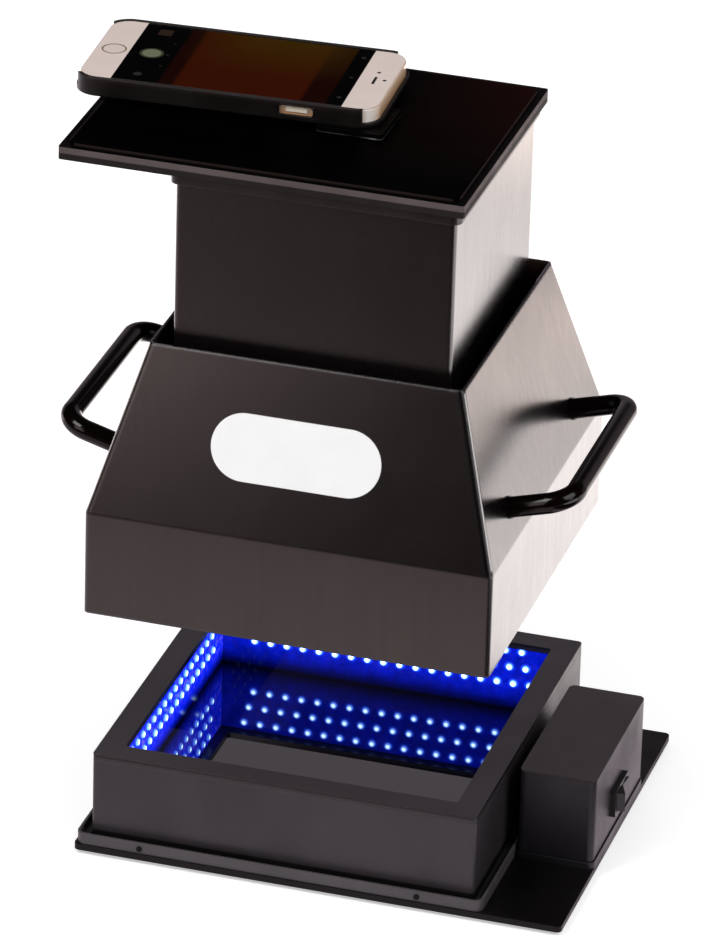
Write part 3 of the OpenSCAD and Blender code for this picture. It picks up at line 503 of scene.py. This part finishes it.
# Strength of the blue wash of LED light painted on each wall, and share of violet in its flecks
WALL_PAINTED_LIGHT = {"back": (0.66, 0.15), "front": (0.9, 0.4), "left": (1.9, 1.0), "right": (1.2, 0.6)}
LED_CORE = 1.1 * MM
LED_POWER = 6.5
LED_RIM = 1.9
CORE_WHITE = (0.60, 0.93, 1.0)
HALO_BLUE = (0.035, 0.15, 1.0)
# Radii where a painted halo round an LED starts to fall and where it ends, and how steeply it falls
HALO_RADII = (1.4 * MM, 3.3 * MM)
HALO_FALL = 2.4
# The painted wash of LED light: its span round the rows, and its strengths over them, on the line at
# the panel's foot and rising above that line
WASH_SPAN = (LOW_ROW - 6 * MM, LOW_ROW + 24 * MM)
WASH_SOFT = 5 * MM
WASH_ROWS = 0.55
WASH_LINE = 0.07
WASH_FOOT = 0.20
WASH_BLUE = (0.002, 0.016, 1.0)
FLECK_VIOLET = (0.11, 0.085, 1.0)
# Painted line of LED light down the corner where two panels meet: its colour and strength
CORNER_BLUE = (0.09, 0.11, 1.0)
CORNER_POWER = 1.4


def dark_glass(name, base, spec):
    g = Graph(name)
    g.set("Base Color", g.mingle(base, shade(base, 1.7), 40, 3))
    g.set("Roughness", g.span(g.noise(90, 4), 0.004, 0.016))
    g.set("Specular IOR Level", spec)
    g.set("Coat Weight", 1.0)
    g.set("Coat Roughness", 0.006)
    return g.material


def clear_glass(name, color, alpha):
    g = Graph(name)
    g.set("Base Color", g.mingle(shade(color, 0.9), color, 60, 3))
    g.set("Roughness", g.span(g.noise(120, 3), 0.02, 0.07))
    g.set("Alpha", alpha)
    g.set("Coat Weight", 0.5)
    return g.material


def led_distance(g, side):
    """Distance from a point of a wall panel to its nearest LED, and the point's place along and up."""
    axis, sign = WALL_RUN[side]
    place = g.axes()
    along = g.times(place[axis], float(sign))
    nearest = None
    for row in range(LED_ROWS):
        start = g.plus(along, row * LED_SHIFT)
        kept = g.math("MINIMUM", g.math("MAXIMUM", start, -LED_REACH), LED_REACH)
        cell = g.minus(g.math("FLOORED_MODULO", kept, LED_PITCH), LED_PITCH / 2)
        near = g.plus(cell, g.minus(start, kept))
        far = g.length(near, g.minus(place[2], LOW_ROW + row * LED_STEP))
        nearest = far if nearest is None else g.math("MINIMUM", nearest, far)
    return nearest, along, place[2]


def led_material(side):
    """Lit lens: a small white core that falls off to a blue edge."""
    g = Graph("led_light_" + side)
    g.set("Base Color", g.mingle((0.02, 0.03, 0.10), (0.03, 0.05, 0.14), 900, 2))
    g.set("Roughness", 0.3)
    far, _, _ = led_distance(g, side)
    fall = g.math("DIVIDE", far, LED_CORE)
    core = g.math("EXPONENT", g.times(fall, fall, -1.0))
    g.set("Emission Strength", g.plus(g.times(core, LED_POWER), LED_RIM))
    g.set("Emission Color", g.mix(core, HALO_BLUE, CORE_WHITE))
    return g.material


def board_material(side):
    """Blue wall panel: dark solder mask, and painted LED light as a wash, LED halos and a corner line."""
    g = Graph("board_blue_" + side)
    gain, violet = WALL_PAINTED_LIGHT[side]
    far, along, height = led_distance(g, side)
    halo = g.math("POWER", g.span(far, 1, 0, *HALO_RADII), HALO_FALL)
    rows = g.band(height, *WASH_SPAN, WASH_SOFT)
    foot_line = g.span(height, 0, WASH_LINE, GLASS_TOP + 0.9 * MM, GLASS_TOP + 1.4 * MM)
    foot = g.plus(foot_line, g.span(height, 0, WASH_FOOT, GLASS_TOP + 2 * MM, WASH_SPAN[0]))
    clouds = g.span(g.noise(170, 4, 0.7), 0.6, 1.35)
    wash = g.times(g.plus(g.times(rows, WASH_ROWS), foot), clouds)
    wall_end = -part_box("led_board_" + side)[1][WALL_RUN[side][0]]
    corner = g.band(along, wall_end - 0.2 * MM, wall_end + 0.7 * MM, 0.12 * MM)
    total = g.plus(g.times(wash, gain), g.times(halo, LED_RIM), g.times(corner, CORNER_POWER))
    g.set("Base Color", g.mingle((0.002, 0.003, 0.03), (0.003, 0.005, 0.05), 500, 3))
    g.set("Roughness", g.span(g.noise(300, 2), 0.03, 0.06))
    g.set("Specular IOR Level", 0.08)
    g.set("Emission Strength", total)
    flecks = g.times(g.span(g.noise(330, 3, 0.7), 0, 1, 0.5, 0.7), rows)
    tint = g.mix(g.times(flecks, violet), WASH_BLUE, FLECK_VIOLET)
    tint = g.mix(halo, tint, HALO_BLUE)
    g.set("Emission Color", g.mix(corner, tint, CORNER_BLUE))
    return g.material


def dress_glass_and_light():
    dress(dark_glass("floor_glass", (0.0025, 0.0022, 0.004), 0.9), "floor_glass")
    dress(dark_glass("camera_black", (0.006, 0.006, 0.009), 0.5), "phone_camera_window")
    dress(clear_glass("filter_amber", (0.9, 0.4, 0.03), 0.6), "emission_filter")
    dress(clear_glass("lens_clear", (0.85, 0.9, 0.92), 0.35), "closeup_lens")
    for side in WALL_RUN:
        dress(led_material(side), "leds_" + side)
        dress(board_material(side), "led_board_" + side)


# ---------------------------------------------------------------- phone

PHONE_TURN = math.radians(3)
FROM_PHONE = Matrix.Rotation(PHONE_TURN, 4, "Z")
TO_PHONE = FROM_PHONE.inverted()
# Painted highlight along the case's top lip, slightly browner and lighter than the case
CASE_LIP_HIGHLIGHT = (0.016, 0.011, 0.0095)
STRIP_BLACK = (0.0015, 0.0012, 0.0012)
# Gold band painted shaded below and lit above, with a near-white painted highlight by its front corner
GOLD_SHADED = (0.52, 0.27, 0.13)
GOLD_LIT = (1.0, 0.74, 0.52)
GOLD_CORNER_HIGHLIGHT = (1.0, 0.93, 0.88)

# The camera app on the screen, in shares of its length from the home button and of its width
PREVIEW = (0.20, 0.93)
LIT = (0.265, 0.82)
SHUTTER = (0.095, 0.5)
THUMBNAIL = ((0.065, 0.125), (0.83, 0.93))
SCREEN_SOFT = 0.004
SCREEN_BLACK = (0.0004, 0.0004, 0.0004)
PREVIEW_DARK = (0.0075, 0.0009, 0.0003)
PREVIEW_AMBER = (0.031, 0.0040, 0.0003)
PREVIEW_OLIVE = (0.034, 0.0155, 0.0006)
SHUTTER_PALE = (0.13, 0.14, 0.085)
SHUTTER_RING = (0.05, 0.055, 0.035)
THUMBNAIL_BROWN = (0.022, 0.012, 0.008)
MARK_GREY = (0.05, 0.045, 0.04)
# Small round marks of the app: share along, share across, radius in mm
SCREEN_MARKS = ((0.095, 0.12, 2.0), (0.165, 0.5, 0.6), (0.165, 0.3, 0.5), (0.165, 0.7, 0.5),
                (0.97, 0.14, 1.1), (0.97, 0.5, 0.8), (0.97, 0.86, 1.1))


def phone_extent(node):
    """Lowest and highest corner of a node in the phone's own turned frame."""
    points = [TO_PHONE @ v.co for v in NODES[node].data.vertices]
    low = Vector(min(p[i] for p in points) for i in range(3))
    high = Vector(max(p[i] for p in points) for i in range(3))
    return low, high


def screen_material():
    """Camera app on the lit screen: black bars, an amber-brown preview, a shutter disc, small marks."""
    g = Graph("phone_screen")
    low, high = phone_extent("phone_display")
    x, y, _ = g.axes(PHONE_TURN)
    along = g.math("DIVIDE", g.minus(x, low.x), high.x - low.x)
    across = g.math("DIVIDE", g.minus(y, low.y), high.y - low.y)

    def disc(u, v, radius, soft=0.25 * MM):
        dx = g.minus(x, low.x + u * (high.x - low.x))
        dy = g.minus(y, low.y + v * (high.y - low.y))
        return g.span(g.length(dx, dy), 1, 0, radius - soft, radius + soft)

    olive = g.times(g.band(along, 0.36, 0.9, 0.14), g.span(across, 0, 1, 0.35, 1.0))
    color = g.mix(g.band(along, *LIT, 0.010), PREVIEW_DARK, PREVIEW_AMBER)
    color = g.mix(olive, color, PREVIEW_OLIVE)
    color = g.mix(g.band(along, *PREVIEW, SCREEN_SOFT), SCREEN_BLACK, color)
    color = g.mix(disc(*SHUTTER, 4.4 * MM), color, SHUTTER_PALE)
    ring = g.minus(disc(*SHUTTER, 5.4 * MM), disc(*SHUTTER, 4.8 * MM))
    color = g.mix(ring, color, SHUTTER_RING)
    thumbnail_x, thumbnail_y = THUMBNAIL
    thumbnail = g.times(g.band(along, *thumbnail_x, SCREEN_SOFT), g.band(across, *thumbnail_y, SCREEN_SOFT))
    color = g.mix(thumbnail, color, THUMBNAIL_BROWN)
    for u, v, radius in SCREEN_MARKS:
        color = g.mix(g.times(disc(u, v, radius * MM), 0.4), color, MARK_GREY)
    g.set("Emission Color", color)
    g.set("Emission Strength", 1.0)
    g.set("Base Color", g.mingle((0.0003, 0.0003, 0.0003), (0.0006, 0.0006, 0.0006), 70, 3))
    g.set("Roughness", g.span(g.noise(90, 4), 0.03, 0.09))
    g.set("Specular IOR Level", 0.08)
    return g.material


def case_painted_highlight(g, base):
    """Painted highlight: a slightly browner, lighter band along the phone case's lip."""
    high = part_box("phone_case")[1].z
    return g.mix(g.span(g.axes()[2], 0, 0.8, high - 2.2 * MM, high - 0.8 * MM), base, CASE_LIP_HIGHLIGHT)


def front_tone(g, base):
    """Black glass on both long sides of the display."""
    low, high = phone_extent("phone_display")
    x, _, _ = g.axes(PHONE_TURN)
    strip = g.band(x, low.x - 0.2 * MM, high.x + 0.2 * MM, 0.08 * MM)
    return g.mix(strip, base, STRIP_BLACK)


def gold_painted_light(g, base):
    """Gold of the phone's metal band with painted light: paler along its upper edge, where it is lit,
    and a near-white painted highlight round its front corner.
    """
    low, high = phone_extent("phone_chassis")
    x, y, z = g.axes(PHONE_TURN)
    gold = g.mix(g.span(z, 0, 1, low.z + 1.5 * MM, high.z - 1.5 * MM), GOLD_SHADED, GOLD_LIT)
    corner = g.times(g.span(y, 1, 0, low.y + 2 * MM, low.y + 9 * MM),
                     g.span(x, 0, 1, high.x - 9 * MM, high.x - 4 * MM))
    return g.mix(corner, g.mix(0.75, base, gold), GOLD_CORNER_HIGHLIGHT)


def dress_phone():
    """Dresses the phone and returns the case's material, which a trim shares."""
    case = finish("phone_case", "case_black", (0.0045, 0.0035, 0.003), 0.40, spec=0.35, grain=2600,
                  grain_depth=0.012, edge=1.0, tone=case_painted_highlight)
    finish("phone_front_glass", "phone_white", (0.66, 0.56, 0.51), 0.16, mottle=0.03, rough_spread=0.04,
           grain=300, grain_depth=0.002, edge=0.8, tone=front_tone)
    finish("phone_home_button", "home_white", (0.64, 0.54, 0.49), 0.12, mottle=0.03, edge=0.9)
    finish("phone_chassis", "phone_gold", (0.98, 0.60, 0.36), 0.20, metal=0.12, coat=0.5, mottle=0.05,
           rough_spread=0.04, grain=3000, grain_depth=0.004, edge=0.3, tone=gold_painted_light)
    finish("phone_power_button phone_volume_up phone_volume_down", "key_gold", (1.0, 0.86, 0.70), 0.22,
           metal=0.1, coat=0.5, mottle=0.04, rough_spread=0.04, grain=3000, grain_depth=0.004, edge=0.35)
    dress(screen_material(), "phone_display")
    return case


# ---------------------------------------------------------------- small trims on the phone

# Side key's slot, earpiece slot, and the sensor dots' places from the middle of the earpiece
SLOT_LONG = 16 * MM
SLOT_TALL = 5 * MM
SLOT_ROUND = 1.9 * MM
EARPIECE_FROM_END = 8.6 * MM
EARPIECE_LONG = 8.5 * MM
EARPIECE_WIDE = 1.1 * MM
EARPIECE_TALL = 0.45 * MM
EARPIECE_ROUND = 0.5 * MM
EARPIECE_SUNK = 0.4 * MM
DOT_HIGH = (0.2 * MM, 9 * MM)
DOT_LOW = (4.6 * MM, 1 * MM)
SLOT_STEPS = 48
BAR_STEPS = 32
RING_STEPS = 64
DOT_STEPS = 24


def add_mesh(name, build, material, place):
    """Makes a piece from a bmesh builder, gives it a material and lets it ride on the phone."""
    bm = bmesh.new()
    build(bm)
    bmesh.ops.recalc_face_normals(bm, faces=bm.faces)
    mesh = bpy.data.meshes.new(name)
    bm.to_mesh(mesh)
    bm.free()
    mesh.transform(FROM_PHONE @ Matrix.Translation(place))
    for face in mesh.polygons:
        face.use_smooth = True
    mesh.materials.append(material)
    made = bpy.data.objects.new(name, mesh)
    bpy.context.scene.collection.objects.link(made)
    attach(made, "phone")


def turned(bm, profile, steps):
    """Lathe body round Z from (radius, height) points; the ends may lie on the axis."""
    rings = []
    for radius, height in profile:
        if radius == 0:
            rings.append([bm.verts.new((0, 0, height))])
        else:
            angles = (2 * math.pi * i / steps for i in range(steps))
            rings.append([bm.verts.new((radius * math.cos(a), radius * math.sin(a), height)) for a in angles])
    for low, high in zip(rings, rings[1:]):
        for i in range(steps):
            j = (i + 1) % steps
            corners = [low[i % len(low)], low[j % len(low)], high[j % len(high)], high[i % len(high)]]
            corners = list(dict.fromkeys(corners))
            if len(corners) > 2:
                bm.faces.new(corners)


def rounded_outline(half_a, half_b, rounding, steps, start=0.0):
    """Points of a rectangle with round corners; start turns the first one by a share of a step."""
    points = []
    for i in range(steps):
        turn = 2 * math.pi * (i + start) / steps
        a = math.copysign(max(half_a - rounding, 0), math.cos(turn)) + rounding * math.cos(turn)
        b = math.copysign(max(half_b - rounding, 0), math.sin(turn)) + rounding * math.sin(turn)
        points.append((a, b))
    return points


def join_rings(bm, low, high):
    """Band of faces between two closed rings with as many points."""
    for i, start in enumerate(low):
        j = (i + 1) % len(low)
        bm.faces.new((start, low[j], high[j], high[i]))


def home_ring(bm):
    """Thin raised ring round the home button."""
    low, high = phone_extent("phone_home_button")
    r = (high.x - low.x) / 2 + 0.05 * MM
    profile = [(r - 0.45 * MM, 0), (r - 0.38 * MM, 0.05 * MM), (r + 0.22 * MM, 0.05 * MM), (r + 0.30 * MM, 0)]
    turned(bm, profile + profile[:1], RING_STEPS)
    bmesh.ops.remove_doubles(bm, verts=bm.verts, dist=1e-7)


def sensor_dot(bm):
    """Low round disc with a soft rim."""
    turned(bm, [(0, -0.02 * MM), (0.9 * MM, -0.02 * MM), (0.86 * MM, 0.03 * MM), (0.5 * MM, 0.05 * MM),
                (0, 0.055 * MM)], DOT_STEPS)


def earpiece(bm):
    """Bar with round ends lying along Y on z = 0, crowned on top."""
    taper = EARPIECE_WIDE / EARPIECE_LONG
    outline = rounded_outline(EARPIECE_WIDE / 2, EARPIECE_LONG / 2, EARPIECE_ROUND, BAR_STEPS)
    rings = []
    for scale, level in ((1.0, 0.0), (1.0, 0.6), (0.8, 0.9), (0.45, 1.0)):
        along = 1 - (1 - scale) * taper
        rings.append([bm.verts.new((x * scale, y * along, EARPIECE_TALL * level)) for x, y in outline])
    for low, high in zip(rings, rings[1:]):
        join_rings(bm, low, high)
    bm.faces.new(rings[0])
    bm.faces.new(rings[-1])


def slot_rim(bm):
    """Raised rim with round ends round the side key's slot, standing in the X-Z plane."""
    rings = []
    for grow, out in ((-0.25, 0.0), (-0.25, 0.25), (0.15, 0.3), (0.55, 0.05), (0.55, 0.0)):
        more = grow * MM
        half_x, half_z = SLOT_LONG / 2 + more, SLOT_TALL / 2 + more
        outline = rounded_outline(half_x, half_z, SLOT_ROUND + more, SLOT_STEPS, 0.5)
        rings.append([bm.verts.new((x, -out * MM, z)) for x, z in outline])
    for low, high in zip(rings, rings[1:] + rings[:1]):
        join_rings(bm, low, high)


def phone_trims(case_black):
    """Key slot rim on the case; home ring, earpiece grille and two sensor dots on the white front."""
    ring_gold = surface("ring_gold", (0.30, 0.20, 0.13), 0.3, metal=0.4, grain=3000, grain_depth=0.003)
    pit_black = surface("pit_black", (0.006, 0.006, 0.006), 0.5, grain=4000, grain_depth=0.01)
    glass_low, glass_high = phone_extent("phone_front_glass")
    top = glass_high.z
    key = sum(phone_extent("phone_power_button"), Vector()) / 2
    home = sum(phone_extent("phone_home_button"), Vector()) / 2
    ear_x, ear_y = glass_high.x - EARPIECE_FROM_END, (glass_low.y + glass_high.y) / 2
    case_front = phone_extent("phone_case")[0].y
    add_mesh("key_slot_rim", slot_rim, case_black, (key.x, case_front, key.z))
    add_mesh("home_ring", home_ring, ring_gold, (home.x, home.y, top))
    add_mesh("earpiece_grille", earpiece, pit_black, (ear_x, ear_y, top - EARPIECE_SUNK))
    for name, (dx, dy) in (("sensor_dot_high", DOT_HIGH), ("sensor_dot_low", DOT_LOW)):
        add_mesh(name, sensor_dot, pit_black, (ear_x + dx, ear_y + dy, top))


# ---------------------------------------------------------------- floor, cards and world

BROWN = (1.0, 0.77, 0.76)
MAUVE = (1.0, 0.86, 0.95)
CREAM = (1.0, 0.925, 0.905)
ROSE = (1.0, 0.845, 0.785)
EDGE_DARK = (0.04, 0.02, 0.025)
EDGE_GLINT = (3.2, 3.0, 3.0)
FLOOR_HALF = 12.0
# Emission that lifts the floor to white where the camera sees it
FLOOR_LIFT = 0.45

# What mirrored rays see of the floor, as (y, level, tint) from in front of the object to behind it
FLOOR_STOPS = ((-1.2, 0.02, BROWN), (-0.90, 0.26, BROWN), (-0.72, 0.335, BROWN), (-0.52, 0.50, BROWN),
               (-0.43, 0.78, BROWN), (-0.30, 0.90, BROWN),
               (-0.20, 0.62, MAUVE), (-0.12, 0.85, MAUVE), (0.09, 0.80, MAUVE),
               (0.17, 1.75, CREAM), (0.36, 2.0, CREAM), (0.46, 2.0, CREAM), (0.60, 1.52, CREAM),
               (0.68, 1.40, CREAM), (0.80, 2.35, ROSE), (1.1, 2.35, ROSE))
# Far in front it darkens towards the right, and a patch at the object's right is dark with a
# bright far end
DIM_X, DIM_Y, DIM_SHARE = (-0.30, -0.06), (-0.54, -0.46), 0.8
PATCH_X, PATCH_Y = (0.18, 0.22), (-0.42, 0.06)
GLINT_X = (0.46, 0.52)

# Cards: their plane, their extent, and their light as (place, level, tint)
BACK_Y = 1.0
BACK_X = (-2.5, 2.0)
BACK_Z = (0, 1.6)
BACK_STOPS = ((0.5, 0.30, MAUVE), (0.66, 0.28, MAUVE), (0.76, 0.012), (1.0, 0.008))
FRONT_Y = -1.2
FRONT_X = (-1.2, 0.5)
FRONT_Z = (0.05, 1.1)
FRONT_STOPS = ((-1.2, 2.2, BROWN), (-0.46, 2.2, BROWN), (-0.37, 1.3, BROWN), (-0.30, 0.34, BROWN),
               (-0.24, 0.03, BROWN), (-0.15, 0.0))
# Heights between which the front card's light rises from none to its share
FRONT_RISE = (0.255, 0.36)
FRONT_MOST = 1.15
SIDE_X = 1.6
SIDE_Y = (-0.85, -0.35)
SIDE_Z = (0.42, 0.70)

WORLD_DIFFUSE = (0.55, 0.55, 0.56)
WORLD_MIRRORED = (0.008, 0.005, 0.0045)
WORLD_SEEN = (1, 1, 1)


def flat(name, corners, material):
    mesh = bpy.data.meshes.new(name)
    mesh.from_pydata(corners, [], [(0, 1, 2, 3)])
    mesh.materials.append(material)
    made = bpy.data.objects.new(name, mesh)
    bpy.context.scene.collection.objects.link(made)
    return made


def ramp(g, value, stops):
    """Light along a value: stops are (position, level) or (position, level, tint), in its own unit."""
    low, high = stops[0][0], stops[-1][0]
    made = g.node("ShaderNodeValToRGB")
    g.link(g.span(value, 0, 1, low, high), made.inputs["Fac"])
    elements = made.color_ramp.elements
    while len(elements) < len(stops):
        elements.new(0.5)
    for element, (position, level, *tint) in zip(elements, stops):
        element.position = (position - low) / (high - low)
        element.color = (*shade(tint[0] if tint else (1, 1, 1), level, 100.0), 1)
    return made.outputs["Color"]


def floor():
    """White floor that keeps the soft shadow; mirrored rays see it graded like a studio table."""
    g = Graph("floor_white")
    g.set("Base Color", g.mix(g.noise(3), (0.80, 0.80, 0.80), (0.84, 0.84, 0.84)))
    g.set("Roughness", 0.9)
    g.set("Specular IOR Level", 0.1)
    g.set("Emission Color", (1, 1, 1, 1))
    path = g.node("ShaderNodeLightPath").outputs
    g.set("Emission Strength", g.times(path["Is Camera Ray"], FLOOR_LIFT))
    x, y, _ = g.axes()
    dim = g.times(g.span(x, 0, DIM_SHARE, *DIM_X), g.span(y, 1, 0, *DIM_Y))
    light = g.mix(dim, ramp(g, y, FLOOR_STOPS), (0, 0, 0))
    right_patch = g.times(g.span(x, 0, 1, *PATCH_X), g.band(y, *PATCH_Y, 0.03))
    patch_light = g.mix(g.span(x, 0, 1, *GLINT_X), EDGE_DARK, EDGE_GLINT)
    glow = g.node("ShaderNodeEmission")
    g.link(g.mix(right_patch, light, patch_light), glow.inputs["Color"])
    mix = g.node("ShaderNodeMixShader")
    g.link(path["Is Glossy Ray"], mix.inputs["Fac"])
    g.link(g.shader.outputs[0], mix.inputs[1])
    g.link(glow.outputs[0], mix.inputs[2])
    g.finish_with(mix.outputs[0])
    h = FLOOR_HALF
    flat("floor", [(-h, -h, 0), (h, -h, 0), (h, h, 0), (-h, h, 0)], g.material)


def card(name, corners, grade):
    """Studio card seen only in reflections; grade(graph) gives its light."""
    g = Graph(name)
    glow = g.node("ShaderNodeEmission")
    g.link(grade(g), glow.inputs["Color"])
    g.finish_with(glow.outputs[0])
    made = flat(name, corners, g.material)
    made.visible_camera = made.visible_diffuse = made.visible_shadow = made.visible_transmission = False


def upright_y(y, span_x, span_z):
    """Corners of an upright card at one Y."""
    (x0, x1), (z0, z1) = span_x, span_z
    return [(x0, y, z0), (x1, y, z0), (x1, y, z1), (x0, y, z1)]


def upright_x(x, span_y, span_z):
    """Corners of an upright card at one X."""
    (y0, y1), (z0, z1) = span_y, span_z
    return [(x, y0, z0), (x, y1, z0), (x, y1, z1), (x, y0, z1)]


def back_grade(g):
    """Low pale wall behind the object, black above the level that the platform mirrors."""
    return ramp(g, g.axes()[2], BACK_STOPS)


def front_grade(g):
    """Soft light far out in front that grades the sloping face from upper left to lower right."""
    x, _, z = g.axes()
    return g.mix(g.span(z, 0, FRONT_MOST, *FRONT_RISE), (0, 0, 0), ramp(g, x, FRONT_STOPS))


def side_grade(g):
    """Small bright light far out at the right front, for the glints on the handles and hip edges."""
    return g.mingle((2.6, 2.5, 2.5), (3.0, 2.9, 2.9), 4, 2)


def world():
    """White to the camera, dark to mirrored rays and a plain light grey to all others."""
    made = bpy.data.worlds.new("studio")
    bpy.context.scene.world = made
    made.use_nodes = True
    tree = made.node_tree
    tree.nodes.clear()
    out = tree.nodes.new("ShaderNodeOutputWorld")
    mix = tree.nodes.new("ShaderNodeMixShader")
    dim = tree.nodes.new("ShaderNodeBackground")
    white = tree.nodes.new("ShaderNodeBackground")
    white.inputs["Color"].default_value = (*WORLD_SEEN, 1)
    path = tree.nodes.new("ShaderNodeLightPath")
    tone = tree.nodes.new("ShaderNodeMix")
    tone.data_type = "RGBA"
    tone.inputs[6].default_value = (*WORLD_DIFFUSE, 1)
    tone.inputs[7].default_value = (*WORLD_MIRRORED, 1)
    tree.links.new(path.outputs["Is Glossy Ray"], tone.inputs["Factor"])
    tree.links.new(tone.outputs[2], dim.inputs["Color"])
    tree.links.new(path.outputs["Is Camera Ray"], mix.inputs["Fac"])
    tree.links.new(dim.outputs[0], mix.inputs[1])
    tree.links.new(white.outputs[0], mix.inputs[2])
    tree.links.new(mix.outputs[0], out.inputs["Surface"])


# ---------------------------------------------------------------- lamps and camera

# Both lamps look at a point inside the object: place, side length, power
LAMP_AIM = (0, 0, 0.15)
KEY_LAMP = ((-1.2, -1.4, 2.2), 1.2, 32)
FILL_LAMP = ((1.6, -0.6, 1.6), 1.4, 18)

# The photo's camera, fitted to the object's corners
IMAGE_LONG_SIDE = 952
FOCAL_PX = 7400.4
CAMERA_AT = Vector((0.8404, -2.9069, 1.6635))
CAMERA_YAW = 0.28075
CAMERA_PITCH = 0.46014
CAMERA_ROLL = 0.03


def area_light(name, at, side, power):
    data = bpy.data.lights.new(name, "AREA")
    data.shape = "RECTANGLE"
    data.size = data.size_y = side
    data.energy = power
    made = bpy.data.objects.new(name, data)
    made.location = at
    made.rotation_mode = "QUATERNION"
    made.rotation_quaternion = (Vector(at) - Vector(LAMP_AIM)).to_track_quat("Z", "Y")
    bpy.context.scene.collection.objects.link(made)


def camera():
    data = bpy.data.cameras.new("camera")
    data.sensor_width = 36
    data.lens = FOCAL_PX / IMAGE_LONG_SIDE * data.sensor_width
    data.clip_end = 60
    made = bpy.data.objects.new("camera", data)
    right = Vector((math.cos(CAMERA_YAW), math.sin(CAMERA_YAW), 0))
    ahead = Vector((-math.sin(CAMERA_YAW) * math.cos(CAMERA_PITCH),
                    math.cos(CAMERA_YAW) * math.cos(CAMERA_PITCH), -math.sin(CAMERA_PITCH)))
    up = right.cross(ahead)
    rolled_right = right * math.cos(CAMERA_ROLL) + up * math.sin(CAMERA_ROLL)
    rolled_up = up * math.cos(CAMERA_ROLL) - right * math.sin(CAMERA_ROLL)
    turn = Matrix((rolled_right, rolled_up, -ahead)).transposed()
    made.matrix_world = Matrix.Translation(CAMERA_AT) @ turn.to_4x4()
    bpy.context.scene.collection.objects.link(made)
    bpy.context.scene.camera = made


# ---------------------------------------------------------------- put together and hand over

def dress_object():
    dress_base()
    dress_hood()
    dress_platform()
    dress_shared()
    dress_glass_and_light()
    phone_trims(dress_phone())


def set_stage():
    floor()
    card("back_card", upright_y(BACK_Y, BACK_X, BACK_Z), back_grade)
    card("front_card", upright_y(FRONT_Y, FRONT_X, FRONT_Z), front_grade)
    card("side_card", upright_x(SIDE_X, SIDE_Y, SIDE_Z), side_grade)
    world()
    camera()
    area_light("key", *KEY_LAMP)
    area_light("fill", *FILL_LAMP)
    bpy.context.scene.view_settings.view_transform = "Standard"


dress_object()
set_stage()
